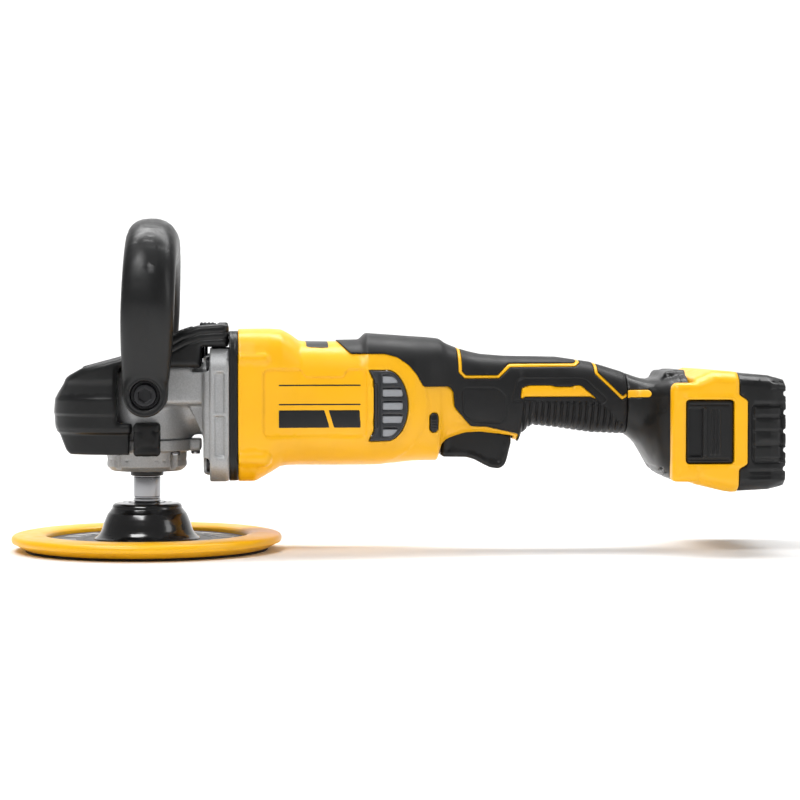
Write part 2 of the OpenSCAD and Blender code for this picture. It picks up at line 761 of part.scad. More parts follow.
module speed_dial() {
    color(dark) difference() {
        union() {
            y_rod(-4, 4, dial_x, dial_z, 10.3);
            y_rod(-8.5, 8.5, dial_x, dial_z, 1.5);
        }
        for (a = [0:18:342]) translate([dial_x, 0, dial_z]) rotate([0, a, 0])
            translate([-0.6, -5, 9.6]) cube([1.2, 10, 2]);
    }
}

module spindle_lock_button() {
    color(dark) difference() {
        translate([lock_x - 3.2, -7, 142.6]) cube([10.6, 14, 5.4]);
        for (i = [0:3]) translate([lock_x - 1.4 + 2.4 * i, -8, 147.2]) cube([1.2, 16, 2]);
    }
}

module spindle_lock_pin() {
    tip = counter_z + lock_disc_r - 1.8 + lock_travel;
    color(steel) {
        translate([lock_x, 0, tip]) cylinder(h = 6, r = 1);
        translate([lock_x, 0, tip + 5.5]) cylinder(h = 142.6 - tip - 5.5, r = 2);
    }
}

// ---------- Motor ----------

module stator_core() {
    color(alu) difference() {
        x_tube(stator_x[0], stator_x[1], motor_z, stator_r, rotor_r + 0.5);
        for (a = [30:60:330]) translate([0, 0, motor_z]) rotate([a, 0, 0])
            translate([stator_x[0] - 1, -2.5, rotor_r]) cube([stator_x[1] - stator_x[0] + 2, 5, 9]);
    }
}

module stator_windings() {
    color(copper) for (x = [stator_x[0] - 7, stator_x[1]])
        x_tube(x + 0.2, x + 6.8, motor_z, stator_r - 3, rotor_r + 2);
}

module motor_rear_bracket() {
    color(dark) difference() {
        x_rod(rear_bearing_x[0] - 2, rear_bearing_x[1] + 2, motor_z, 33);
        x_rod(rear_bearing_x[0] - 3, rear_bearing_x[1], motor_z, 11);
        x_rod(rear_bearing_x[1] - eps, rear_bearing_x[1] + 3, motor_z, 6);
        for (a = [0:60:300]) translate([0, 0, motor_z]) rotate([a, 0, 0])
            translate([rear_bearing_x[0] - 3, -8, 16]) cube([13, 16, 14]);
    }
}

module motor_front_bearing() {
    color(steel)
        bearing_x(front_bearing_x[0], front_bearing_x[1], motor_z, shaft_r + run_gap, front_bearing_r);
}

module motor_rear_bearing() {
    color(steel) bearing_x(rear_bearing_x[0], rear_bearing_x[1], motor_z, shaft_r + run_gap, 11);
}

module motor_shaft() {
    color(steel) {
        x_rod(spur_x[1] + 1.5, rear_bearing_x[1] + 1, motor_z, shaft_r);
        translate([0, 0, motor_z]) along_x(spur_x[0] - 1)
            linear_extrude(height = spur_x[1] - spur_x[0] + 3)
                spur_outline(z_motor, spur_m, 1.0, 0.85, 0.12, 90);
    }
}

module rotor_core() {
    color(alu) x_tube(stator_x[0] + 1, stator_x[1] - 1, motor_z, rotor_r - 0.5, shaft_r);
}

module cooling_fan() {
    color(dark) {
        x_tube(fan_x[0], fan_x[1], motor_z, 8, shaft_r);
        x_tube(fan_x[1] - 1.8, fan_x[1], motor_z, 33, 8 - eps);
        for (a = [0:360 / 13:359]) translate([0, 0, motor_z]) rotate([a, 0, 0])
            translate([fan_x[0] + 1, -0.7, 12]) rotate([0, 0, 0]) cube([fan_x[1] - fan_x[0] - 1, 1.4, 20.5]);
    }
}

// ---------- Countershaft ----------

module counter_front_bearing() {
    color(steel) bearing_x(27, 35, counter_z, 4.5 + run_gap, 11);
}

module counter_rear_bearing() {
    color(steel) bearing_x(counter_x[0], counter_x[1], counter_z, 3 + run_gap, counter_bearing_r);
}

module intermediate_gear() {
    color(steel) translate([0, 0, counter_z]) along_x(spur_x[0]) difference() {
        linear_extrude(height = spur_x[1] - spur_x[0])
            spur_outline(z_counter, spur_m, 0.6, 1.25, 0.12, -90 + 180 / z_counter);
        translate([0, 0, -1]) cylinder(h = 20, r = 4.5);
    }
}

module bevel_pinion() {
    color(steel) {
        // the teeth's apex is on the spindle axis
        translate([0, 0, counter_z]) rotate([0, -90, 0])
            bevel_teeth(
                z_pinion, bevel_m, pinion_angle, 1.0, 0.75, 0.15, 180, -ring_r - 1.5, -ring_r * bevel_face
            );
        lock_disc();
        x_rod(ring_r + 1, 26.5, counter_z, 4.9);
        x_rod(26.5 - eps, 49.5, counter_z, 4.5);
        x_rod(49.5 - eps, counter_x[1], counter_z, 3);
    }
}

// Notched disc of the spindle lock, behind the front bearing
module lock_disc() {
    translate([0, 0, counter_z]) along_x(35.6) difference() {
        cylinder(h = 3.4, r = lock_disc_r);
        for (i = [0:lock_notches - 1]) rotate([0, 0, 90 + 360 * i / lock_notches])
            translate([lock_disc_r - 2.2, -1.3, -1]) cube([5, 2.6, 6]);
    }
}

// ---------- Spindle and pad ----------

module bevel_gear() {
    color(steel) difference() {
        union() {
            translate([0, 0, counter_z])
                bevel_teeth(
                    z_ring, bevel_m, ring_angle, 0.5, 1.25, 0.15, 180 / z_ring, -17,
                    -pinion_r * bevel_face - 1.4
                );
            translate([0, 0, counter_z - 21]) cylinder(h = 10, r = 12.5);
        }
        translate([0, 0, 60]) cylinder(h = 60, r = 8);
    }
}

module spindle() {
    color(steel) rotate_extrude() polygon([
        [0, 9.6], [7.2, 9.6], [7.9, 10.4], [7.9, 31.2], [spindle_r, 31.2], [spindle_r, 54.1],
        [8.5, 54.1], [8.5, 66.6], [11.5, 66.6], [11.5, 71.2], [8, 71.2], [8, 104.5], [5, 104.5],
        [5, 118], [0, 118]
    ]);
}

module spindle_lower_bearing() {
    color(steel) translate([0, 0, collar_z + 2.4]) bearing(8.5 + run_gap, 20, 12);
}

module spindle_upper_bearing() {
    color(steel) translate([0, 0, 110]) bearing(5 + run_gap, 10.5, 7);
}

module spindle_seal() {
    color(black) z_tube(collar_z - 3.4, collar_z + 2, 10.7, spindle_r + 0.06);
}

module pad_insert() {
    color(steel) {
        z_tube(plate_z[1] + 2, 30.2, 10.2, 7.95);
        z_tube(30.2 - eps, 31.1, 11, 7.95);
    }
}

module pad_hub() {
    color(black) rotate_extrude() polygon(concat(
        [[10.2, plate_z[1]], [34.5, plate_z[1]], [33.4, 8.6], [31, 10.2], [29.2, 13.5], [27.8, 18],
         [25.2, 24.5]],
        [for (a = [10:20:90]) [19.4 + 3.2 * cos(a), 27.8 + 3.2 * sin(a)]],
        [[12.5, 31], [12.5, 30.2], [10.2, 30.2]]
    ));
}

module pad_plate() {
    color(alu) z_tube(plate_z[0], plate_z[1], 64.3, 12);
}

module pad_rim() {
    r = pad_d / 2;
    color(yellow) rotate_extrude() polygon(concat(
        [[centring_r, hook_t], [hook_d / 2, hook_t], [hook_d / 2 + 1.5, 2.2], [r - 2, 5.2]],
        [for (a = [-40:20:60]) [r - 3.2 + 3.2 * cos(a), 7.6 + 3.2 * sin(a)]],
        [[r - 6, pad_h - 0.4], [r - 10, pad_h], [r - 16, pad_h], [r - 20.5, pad_h - 0.6],
         [r - 22, pad_h - 1.8], [r - 23.2, plate_z[1]], [r - 23.2, plate_z[0]], [centring_r, plate_z[0]]]
    ));
}

module pad_hook_face() {
    color(black) z_tube(0, hook_t, hook_d / 2, centring_r);
}

// ---------- Battery ----------

pack_far = near_y + pack_l;
pack_z0 = pack_z - pack_w / 2;
pack_z1 = pack_z + pack_w / 2;
split_x = 379;
base_x = deck_x + pack_h;

module pack_block(x0, x1, inset) {
    translate([x0, 0, 0]) along_x(0) linear_extrude(height = x1 - x0)
        hull() for (
            y = [near_y + inset + 8, pack_far - inset - 8],
            z = [pack_z0 + inset + 8, pack_z1 - inset - 8]
        )
            translate([y, z]) circle(r = 8);
}

// Yellow upper half of the pack, with the latch tower at its left end
module battery_cover() {
    color(yellow) difference() {
        union() {
            pack_block(deck_x, split_x, 0);
            translate([335, near_y, pack_z - 32]) cube([deck_x - 334, 12.5, 63]);
            // tongue: a narrow neck between the foot's rails and a wide plate behind them
            translate([foot_end_x - 6.2, near_y + 14.5, pack_z - 19.6]) cube([7, 80, 39.2]);
            translate([foot_end_x - 6.2, near_y + 14.5, pack_z - 24.6]) cube([2.7, 80, 49.2]);
        }
        pack_block(deck_x + 2.4, split_x + 1, 2.4);
        // slots for the terminals
        for (z = [-9, -3, 3, 9])
            translate([foot_end_x - 8, -13, pack_z + z - 1]) cube([6, 52, 2]);
        // window for the release button
        translate([343.4, near_y - 1, pack_z - 20.8]) cube([31.2, 9.6, 41.2]);
        translate([deck_x + 3, near_y + 7, pack_z - 20.8]) cube([22.6, 9, 41.2]);
    }
}

module battery_case() {
    color(black) difference() {
        union() {
            pack_block(split_x + eps, base_x - 8, 0.6);
            pack_block(base_x - 8 - eps, base_x, 2.4);
        }
        difference() {
            pack_block(split_x - 1, base_x - 3, 3.6);
            case_screw_places() x_rod(base_x - 16, base_x, 0, 3.8);
        }
        case_screw_places() x_rod(base_x - 18, base_x + 1, 0, 1.4);
        case_screw_places() x_rod(base_x - 2, base_x + 1, 0, 2.8);
        // grip ribs on both ends and the base
        for (i = [0:4]) translate([base_x - 5, near_y - 5, pack_z - 24 + i * 12 - 1.4]) cube([9, 12, 2.8]);
        for (i = [0:4])
            translate([base_x - 2, near_y - 5, pack_z - 24 + i * 12 - 1.4]) cube([9, pack_l + 10, 2.8]);
    }
}

module battery_cells() {
    color([0.2, 0.45, 0.5]) for (x = [deck_x + 14.2, deck_x + 33.4], i = [0:4])
        translate([x, near_y + 21.5 + i * 18.8, pack_z - 32.5]) cylinder(h = 65, r = 9.2);
}

module battery_release() {
    color(dark) difference() {
        union() {
            translate([343.8, near_y + 1.4, pack_z - 20.4]) cube([30.4, 3.6, 40.4]);
            translate([354.5, near_y + 0.6, pack_z - 16]) cube([2.6, 2, 31]);
            for (i = [0:2]) translate([359.6 + 2.4 * i, near_y + 0.8, pack_z - 15]) cube([1.2, 1, 29]);
        }
        translate([345.5, near_y + 1, pack_z - 16]) cube([9, 2.6, 31]);
    }
}

module battery_screws() {
    color(steel) case_screw_places()
        translate([base_x - 0.4, 0, 0]) rotate([0, 90, 0]) screw(1.4, 12, 2.6, 1.6);
}

module case_screw_places() {
    for (y = [near_y + 10, pack_far - 10], z = [pack_z0 + 10, pack_z1 - 10]) translate([0, y, z]) children();
}

// ---------- Nodes ----------

gear_case();
spindle_collar();
collar_screws();
flange_screws();
head_cover();
side_pads();
side_pad_screws();
bearing_carrier();
housing_left();
housing_right();
overmould_left();
overmould_right();
housing_screws();
vent_shield_left();
vent_shield_right();
vent_mesh_left();
vent_mesh_right();
battery_foot();
foot_rails();
terminal_block();
switch_module();
control_module();
trigger();
trigger_pin();
lock_on_button();
speed_dial();
spindle_lock_button();
spindle_lock_pin();
stator_core();
stator_windings();
motor_rear_bracket();
motor_front_bearing();
motor_rear_bearing();
motor_shaft();
rotor_core();
cooling_fan();
counter_front_bearing();
counter_rear_bearing();
intermediate_gear();
bevel_pinion();
spindle_lower_bearing();
spindle_upper_bearing();
spindle_seal();
spindle();
bevel_gear();
pad_insert();
pad_hub();
pad_plate();
pad_rim();
pad_hook_face();
bail_handle();
bail_bolts();
bail_washers();
battery_cover();
battery_case();
battery_cells();
battery_release();
battery_screws();
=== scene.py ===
"""Visual model of a cordless rotary polisher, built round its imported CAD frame.

Rounded mouldings and castings are made as distance fields, in millimetres, and meshed with OpenVDB.
Turned and thin pieces are lathed, swept or cut from outlines. +X runs to the battery, -Y is the left side.
"""
import json
import math

import bpy
import numpy as np
import openvdb
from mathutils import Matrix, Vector


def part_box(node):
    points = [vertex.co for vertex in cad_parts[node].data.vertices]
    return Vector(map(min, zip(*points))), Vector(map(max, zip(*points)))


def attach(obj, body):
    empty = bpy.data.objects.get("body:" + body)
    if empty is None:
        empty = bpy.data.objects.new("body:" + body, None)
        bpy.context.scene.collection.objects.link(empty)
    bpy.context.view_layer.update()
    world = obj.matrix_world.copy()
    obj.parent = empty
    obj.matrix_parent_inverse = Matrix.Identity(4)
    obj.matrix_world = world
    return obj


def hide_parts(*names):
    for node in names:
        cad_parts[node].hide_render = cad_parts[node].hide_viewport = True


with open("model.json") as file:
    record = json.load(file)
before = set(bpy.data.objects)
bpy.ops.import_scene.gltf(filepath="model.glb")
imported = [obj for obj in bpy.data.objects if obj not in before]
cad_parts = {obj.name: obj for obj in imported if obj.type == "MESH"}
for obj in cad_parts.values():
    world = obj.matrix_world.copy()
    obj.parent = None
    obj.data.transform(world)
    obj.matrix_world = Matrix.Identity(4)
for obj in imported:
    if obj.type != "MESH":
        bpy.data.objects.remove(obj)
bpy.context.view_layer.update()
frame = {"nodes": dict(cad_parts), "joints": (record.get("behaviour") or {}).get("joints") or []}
MM = 0.001

# ---------- Places from the frame, in millimetres ----------


def node_box(name):
    low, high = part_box(name)
    return np.array(low) / MM, np.array(high) / MM


JOINTS = {j["name"]: j for j in frame["joints"]}
BAIL_X, _, BAIL_Z = [c / MM for c in JOINTS["bail_tilt"]["pos_m"]]
TRIGGER_X, _, TRIGGER_Z = [c / MM for c in JOINTS["trigger_pull"]["pos_m"]]
DIAL_X, _, DIAL_Z = [c / MM for c in JOINTS["speed_dial_turn"]["pos_m"]]
LOCK_X, LOCK_Z = [(a + b) / 2 for a, b in zip(*node_box("lock_on_button"))][::2]
PACK_LOW, PACK_HIGH = node_box("battery_case")
COVER_LOW, COVER_HIGH = node_box("battery_cover")
FLANGE_END = node_box("gear_case")[1][0]
BODY_START = node_box("housing_left")[0][0]
BODY_END = node_box("housing_left")[1][0]
FOOT_END = node_box("battery_foot")[1][0]
MOTOR_AXIS, SHAFT_AXIS = (0, 93), (0, 108.75)  # Y and Z of the motor and of the intermediate shaft
COLLAR_LOW, CASE_LOW, CASE_TOP = 51.8, 72.4, 121
LOCK_PIN = (37.6, 0)
FLANGE_SCREW_Y, FLANGE_SCREW_Z = 33, (57, 121)
PAD_SCREW_X, PAD_SCREW_Y = (-3, 5.6), 35.5
COLLAR_SCREWS = [(27.2 * math.cos(a), 27.2 * math.sin(a)) for a in np.radians([45, 135, 225, 315])] + [(31.5, 0)]


def hands(inner, outer):
    """Side, name and Y range of a piece on the left and on the right, from inner to outer off the middle."""
    return [(side, hand, *sorted((side * inner, side * outer))) for side, hand in ((-1, "left"), (1, "right"))]


# ---------- Distance fields ----------


def ease(t):
    t = np.clip(t, 0, 1)
    return t * t * (3 - 2 * t)


def crease(u, at, half):
    """1 where u is at, and fading to 0 at half away."""
    return ease(1 - np.abs(u - at) / half)


def blend(a, b, k):
    """Union of two fields with a fillet about k wide."""
    h = np.clip(0.5 + 0.5 * (b - a) / k, 0, 1)
    return b + (a - b) * h - k * h * (1 - h)


def meet(a, b, r):
    """Intersection of two fields with its edge rounded to radius r."""
    return np.minimum(np.maximum(a + r, b + r), 0) + np.hypot(np.maximum(a + r, 0), np.maximum(b + r, 0)) - r


def cut(a, b, r=0.4):
    return meet(a, -b, r)


def block(x, y, z, low, high, r):
    q = [np.abs(c - (l + h) / 2) - (h - l) / 2 + r for c, l, h in zip((x, y, z), low, high)]
    outside = np.sqrt(sum(np.maximum(c, 0) ** 2 for c in q))
    return outside + np.minimum(np.maximum(np.maximum(q[0], q[1]), q[2]), 0) - r


def rect(u, v, low, high, r):
    q = [np.abs(c - (l + h) / 2) - (h - l) / 2 + r for c, l, h in zip((u, v), low, high)]
    return np.hypot(np.maximum(q[0], 0), np.maximum(q[1], 0)) + np.minimum(np.maximum(q[0], q[1]), 0) - r


def slab(c, low, high):
    return np.abs(c - (low + high) / 2) - (high - low) / 2


def rod(u, v, w, centre, r, low, high, edge=0.4):
    """Round bar along w between low and high."""
    return meet(np.hypot(u - centre[0], v - centre[1]) - r, slab(w, low, high), edge)


def polygon(u, v, points):
    """Signed distance to a polygon, negative inside."""
    near = np.full(np.broadcast(u, v).shape, 1e9)
    inside = np.zeros(near.shape, bool)
    for (ax, ay), (bx, by) in zip(points, points[1:] + points[:1]):
        ex, ey = bx - ax, by - ay
        t = np.clip(((u - ax) * ex + (v - ay) * ey) / (ex * ex + ey * ey + 1e-12), 0, 1)
        near = np.minimum(near, (u - ax - t * ex) ** 2 + (v - ay - t * ey) ** 2)
        crosses = (ay <= v) != (by <= v)
        inside ^= crosses & (u < ax + ex * (v - ay) / (ey if ey else 1e-12))
    return np.where(inside, -1, 1) * np.sqrt(near)


def path_field(u, v, points):
    """Distance to an open polyline."""
    near = np.full(np.broadcast(u, v).shape, 1e9)
    for (ax, ay), (bx, by) in zip(points, points[1:]):
        ex, ey = bx - ax, by - ay
        t = np.clip(((u - ax) * ex + (v - ay) * ey) / (ex * ex + ey * ey), 0, 1)
        near = np.minimum(near, (u - ax - t * ex) ** 2 + (v - ay - t * ey) ** 2)
    return np.sqrt(near)


def fillet(points, radius, steps=5):
    """The polygon with each corner rounded, as far as its sides allow."""
    out = []
    count = len(points)
    for i in range(count):
        a, b, c = (np.array(points[(i + k) % count], float) for k in (-1, 0, 1))
        r = min(radius, np.linalg.norm(a - b) * 0.45, np.linalg.norm(c - b) * 0.45)
        start = b + (a - b) / np.linalg.norm(a - b) * r
        end = b + (c - b) / np.linalg.norm(c - b) * r
        for k in range(steps + 1):
            t = k / steps
            out.append(tuple((1 - t) ** 2 * start + 2 * t * (1 - t) * b + t * t * end))
    return out


def sample(field, index):
    """Trilinear samples of a 3-D array at fractional indices."""
    top = np.array(field.shape) - 2
    base = np.clip(np.floor(index).astype(int), 0, top)
    f = np.clip(index - base, 0, 1)
    total = 0
    for dx in (0, 1):
        for dy in (0, 1):
            for dz in (0, 1):
                w = (np.abs(1 - dx - f[:, 0])) * (np.abs(1 - dy - f[:, 1])) * (np.abs(1 - dz - f[:, 2]))
                total = total + w * field[base[:, 0] + dx, base[:, 1] + dy, base[:, 2] + dz]
    return total


def add_mesh(name, verts, polys, normals=None):
    """A mesh object from points in millimetres, and one array of polygons or a list of such arrays."""
    mesh = bpy.data.meshes.new(name)
    if isinstance(polys, np.ndarray):
        polys = [polys]
    loops = np.concatenate([p.ravel() for p in polys])
    sizes = np.concatenate([np.full(len(p), p.shape[1]) for p in polys])
    mesh.vertices.add(len(verts))
    mesh.vertices.foreach_set("co", (np.asarray(verts, np.float32) * MM).ravel())
    mesh.loops.add(len(loops))
    mesh.loops.foreach_set("vertex_index", loops.astype(np.int32))
    mesh.polygons.add(len(sizes))
    mesh.polygons.foreach_set("loop_start", np.concatenate([[0], np.cumsum(sizes)[:-1]]).astype(np.int32))
    mesh.update(calc_edges=True)
    mesh.validate()
    mesh.polygons.foreach_set("use_smooth", np.ones(len(mesh.polygons), bool))
    if normals is not None and len(normals) == len(mesh.vertices):
        mesh.normals_split_custom_set_from_vertices(normals.astype(np.float32))
    obj = bpy.data.objects.new(name, mesh)
    bpy.context.scene.collection.objects.link(obj)
    return obj


def dress(obj, material, body, slot, *nodes):
    """Gives a piece its material and body, and hides the CAD nodes it stands for. slot is not used."""
    obj.data.materials.clear()
    obj.data.materials.append(material)
    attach(obj, body)
    if nodes:
        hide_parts(*nodes)
    return obj


def solid(name, shape, low, high, pitch, thin=0.15):
    """Meshes the zero surface of shape(x, y, z) in a box, with normals from the field itself."""
    low = np.array(low, float) - 2.5 * pitch
    counts = np.ceil((np.array(high, float) + 2.5 * pitch - low) / pitch).astype(int) + 1
    x, y, z = (low[i] + pitch * np.arange(counts[i]) for i in range(3))
    d = shape(x[:, None, None], y[None, :, None], z[None, None, :])
    d = np.broadcast_to(d, counts).astype(np.float32)
    band = 3 * pitch  # as far as the grid keeps the distance
    volume = openvdb.FloatGrid(band)
    volume.copyFromArray(np.clip(d, -band, band))
    volume.gridClass = "level set"
    points, tris, quads = volume.convertToPolygons(isovalue=0.0, adaptivity=thin)
    points = np.asarray(points, float)
    reach = 0.6  # cells each way that the gradient is measured over
    gradient = np.stack([sample(d, points + reach * e) - sample(d, points - reach * e) for e in np.eye(3)], axis=1)
    length = np.linalg.norm(gradient, axis=1, keepdims=True)
    # one Newton step puts each point on the surface, held short where the field has a kink
    step = -2 * reach * gradient * sample(d, points)[:, None] / np.maximum(length**2, 1e-6)
    longest = 0.45
    points = points + step * np.minimum(1, longest / np.maximum(np.linalg.norm(step, axis=1, keepdims=True), 1e-6))
    normals = gradient / np.maximum(length, 1e-9)
    polys = [np.asarray(p)[:, ::-1] for p in (tris, quads) if len(p)]
    return add_mesh(name, low + points * pitch, polys, normals)


# ---------- Materials ----------


def material(name, colour, rough, metallic=0.0, grain=(0.9, 0.02), mottle=0.06, wear=0.25, dirt_and_shade=0.35, coat=0.0,
             brushed=0.0, speckle=0.0, shine=0.5):
    """Procedural finish. grain is (size in mm, depth in mm). wear lightens edges. Hollows are darkened by pointiness:
    painted shade, as ambient occlusion would give, together with dirt.
    """
    mat = bpy.data.materials.new(name)
    mat.use_nodes = True
    mat.diffuse_color = (*colour, 1)
    nodes, links = mat.node_tree.nodes, mat.node_tree.links
    shader = nodes["Principled BSDF"]
    shader.inputs["Metallic"].default_value = metallic
    shader.inputs["Specular IOR Level"].default_value = shine
    shader.inputs["Coat Weight"].default_value = coat
    shader.inputs["Coat Roughness"].default_value = 0.12
    place = nodes.new("ShaderNodeTexCoord")

    def noise(size_mm, detail, stretch=None):
        node = nodes.new("ShaderNodeTexNoise")
        node.inputs["Scale"].default_value = 1000.0 / size_mm
        node.inputs["Detail"].default_value = detail
        if stretch:
            mapping = nodes.new("ShaderNodeMapping")
            mapping.inputs["Scale"].default_value = stretch
            links.new(place.outputs["Object"], mapping.inputs["Vector"])
            links.new(mapping.outputs["Vector"], node.inputs["Vector"])
        else:
            links.new(place.outputs["Object"], node.inputs["Vector"])
        return node.outputs["Fac"]

    def span(value, from_low, from_high, to_low, to_high):
        node = nodes.new("ShaderNodeMapRange")
        for key, v in zip(("From Min", "From Max", "To Min", "To Max"), (from_low, from_high, to_low, to_high)):
            node.inputs[key].default_value = v
        links.new(value, node.inputs["Value"])
        return node.outputs["Result"]

    def mix(factor, a, b):
        node = nodes.new("ShaderNodeMix")
        node.data_type = "RGBA"
        links.new(factor, node.inputs["Factor"])
        for key, v in (("A", a), ("B", b)):
            socket = next(i for i in node.inputs if i.name == key and i.type == "RGBA")
            if isinstance(v, tuple):
                socket.default_value = (*v, 1)
            else:
                links.new(v, socket)
        return next(o for o in node.outputs if o.type == "RGBA")

    broad = noise(38, 3)
    fine = noise(grain[0], 2)
    pale = tuple(min(1, c * (1 + mottle)) for c in colour)
    deep = tuple(c * (1 - mottle) for c in colour)
    tint = mix(span(broad, 0.3, 0.7, 0, 1), deep, pale)
    if speckle:
        tint = mix(span(noise(0.9, 1), 0.35, 0.65, 0, speckle), tint, tuple(c * 0.35 for c in colour))
    bend = nodes.new("ShaderNodeNewGeometry").outputs["Pointiness"]
    worn = tuple(min(1, c * 1.25 + 0.05) for c in colour)
    soiled_and_shaded = tuple(c * 0.45 for c in colour)
    tint = mix(span(bend, 0.53, 0.64, 0, wear), tint, worn)
    # painted shade with dirt: the colour darkens in hollows and creases by pointiness, where ambient occlusion would
    # fall
    tint = mix(span(bend, 0.47, 0.38, 0, dirt_and_shade), tint, soiled_and_shaded)
    links.new(tint, shader.inputs["Base Color"])

    smudge = noise(11, 4, (1, 1, 0.35))
    links.new(span(smudge, 0.25, 0.75, rough - 0.07, rough + 0.09), shader.inputs["Roughness"])

    bump = nodes.new("ShaderNodeBump")
    bump.inputs["Strength"].default_value = 1.0
    bump.inputs["Distance"].default_value = grain[1] * MM
    links.new(fine, bump.inputs["Height"])
    if brushed:
        lines = nodes.new("ShaderNodeBump")
        lines.inputs["Distance"].default_value = brushed * MM
        links.new(noise(3, 2, (1, 1, 40)), lines.inputs["Height"])
        links.new(lines.outputs["Normal"], bump.inputs["Normal"])
    links.new(bump.outputs["Normal"], shader.inputs["Normal"])
    return mat


YELLOW = (0.96, 0.480, 0.0015)
M_YELLOW = material("moulded_yellow", YELLOW, 0.36, grain=(0.5, 0.006), mottle=0.03, wear=0.25, dirt_and_shade=0.3)
M_PAD_YELLOW = material("moulded_pad", (0.96, 0.49, 0.002), 0.34, grain=(0.7, 0.008), mottle=0.04, dirt_and_shade=0.3)
M_RUBBER = material("soft_rubber", (0.009, 0.0092, 0.0098), 0.47, grain=(0.45, 0.016), mottle=0.12, wear=0.3,
                    shine=0.28)
M_BLACK = material("black_moulding", (0.008, 0.0082, 0.0086), 0.35, grain=(0.6, 0.013), mottle=0.1, wear=0.3,
                   shine=0.36)
M_GLOSS = material("gloss_black", (0.006, 0.006, 0.0065), 0.16, grain=(1.6, 0.006), mottle=0.1, coat=0.5)
M_SLATE = material("slate_moulding", (0.022, 0.024, 0.028), 0.38, grain=(0.6, 0.012), mottle=0.08)
M_GREY = material("grey_moulding", (0.30, 0.31, 0.33), 0.42, grain=(0.5, 0.012), mottle=0.06)
M_CAST = material("cast_aluminium", (0.46, 0.465, 0.47), 0.48, 0.55, grain=(0.7, 0.055), mottle=0.09, dirt_and_shade=0.55,
                  speckle=0.22)
M_STEEL = material("turned_steel", (0.30, 0.30, 0.31), 0.2, 1.0, grain=(0.35, 0.004), mottle=0.06, brushed=0.004)
M_SCREW = material("dark_steel", (0.022, 0.022, 0.024), 0.34, 0.4, grain=(0.3, 0.01), mottle=0.15)
M_COPPER = material("copper", (0.60, 0.23, 0.09), 0.3, 0.95, grain=(0.3, 0.02), mottle=0.12)
M_LAMINATE = material("laminations", (0.20, 0.20, 0.21), 0.42, 0.8, grain=(0.5, 0.02), mottle=0.1, brushed=0.02)
M_CELL = material("cell_wrap", (0.03, 0.13, 0.19), 0.35, grain=(0.8, 0.01), mottle=0.06)
M_HOOK = material("hook_fabric", (0.018, 0.018, 0.019), 0.85, grain=(1.1, 0.3), mottle=0.2)
BY_SLOT = {
    "yellow_plastic": M_YELLOW, "black_rubber": M_RUBBER, "black_plastic": M_BLACK, "gloss_black": M_GLOSS,
    "grey_plastic": M_SLATE, "cast_aluminium": M_CAST, "steel": M_STEEL, "dark_steel": M_SCREW,
    "laminations": M_LAMINATE, "copper": M_COPPER, "cell_wrap": M_CELL, "pad_rubber": M_PAD_YELLOW,
    "hook_fabric": M_HOOK,
}

# ---------- Rear body ----------

# X, top, base, half width, and corner exponent of each section, as in the CAD
STATIONS = np.array([
    [59.2, 143.7, 45.4, 43.5, 5.0], [70, 143.9, 45.4, 43.5, 5.0], [80, 143.9, 51.0, 42.6, 4.8],
    [87, 143.4, 55.3, 41.6, 4.2], [93, 140.2, 55.3, 40.4, 3.8], [99, 135.8, 55.3, 39.6, 3.4],
    [124, 135.6, 55.1, 39.0, 3.2], [138, 135.9, 55.1, 38.6, 3.2], [142, 140.1, 55.1, 38.4, 3.2],
    [160, 138.9, 55.5, 37.5, 3.1], [172, 138.0, 56.8, 36.0, 3.0], [182, 137.3, 57.0, 32.5, 2.9],
    [189, 136.6, 57.0, 29.0, 2.9], [190.5, 136.0, 66.0, 28.0, 2.9], [194, 133.5, 70.0, 26.5, 2.9],
    [200, 131.0, 72.4, 24.5, 2.9], [208, 128.4, 74.2, 22.5, 2.8], [217, 126.4, 74.2, 20.8, 2.8],
    [233, 125.1, 71.5, 19.2, 2.7], [242.3, 124.9, 70.0, 18.6, 2.7], [243.3, 124.9, 75.5, 18.6, 2.7],
    [251, 124.8, 82.0, 18.2, 2.6], [267, 124.5, 80.3, 18.0, 2.6], [289.5, 121.2, 77.0, 18.2, 2.6],
    [312, 114.3, 76.0, 19.0, 2.6],
])
FOOT_STATIONS = np.array([
    [312.3, 115.0, 75.2, 19.8, 2.6], [320, 112.2, 69.0, 22.0, 2.8], [326, 110.6, 60.0, 28.0, 3.2],
    [332, 111.6, 50.5, 36.0, 3.8], [338, 113.5, 46.8, 41.0, 4.6], [342, 114.0, 45.4, 41.8, 5.0],
    [348.6, 114.0, 45.0, 42.0, 5.0],
])
WALL = 2.4
RUBBER = 1.0  # the overmould stands this proud of the housing


def loft(stations, blur, x, y, z):
    """Signed distance to a body of superellipse sections along X, blurred lengthways by about blur."""
    step = 0.1
    fine = np.arange(stations[0, 0] - 12, stations[-1, 0] + 12, step)
    kernel = np.exp(-0.5 * (np.arange(-4 * blur, 4 * blur + step, step) / blur) ** 2)
    kernel /= kernel.sum()
    half = len(kernel) // 2
    rows = []
    for k in range(1, 5):
        row = np.interp(fine, stations[:, 0], stations[:, k])
        row = np.convolve(np.pad(row, half, mode="edge"), kernel, "valid")[: len(fine)]
        rows.append(np.interp(x, fine, row))
    top, base, width, power = rows
    mid, height = (top + base) / 2, (top - base) / 2
    u, v = np.abs(y) / width, np.abs(z - mid) / height
    total = np.maximum(u**power + v**power, 1e-9)
    f = total ** (1 / power)
    du = (u / f) ** (power - 1) / width
    dv = (v / f) ** (power - 1) / height
    return (f - 1) / np.maximum(np.hypot(du, dv), 1e-4)


def body(x, y, z):
    return loft(STATIONS, 0.7, x, y, z)


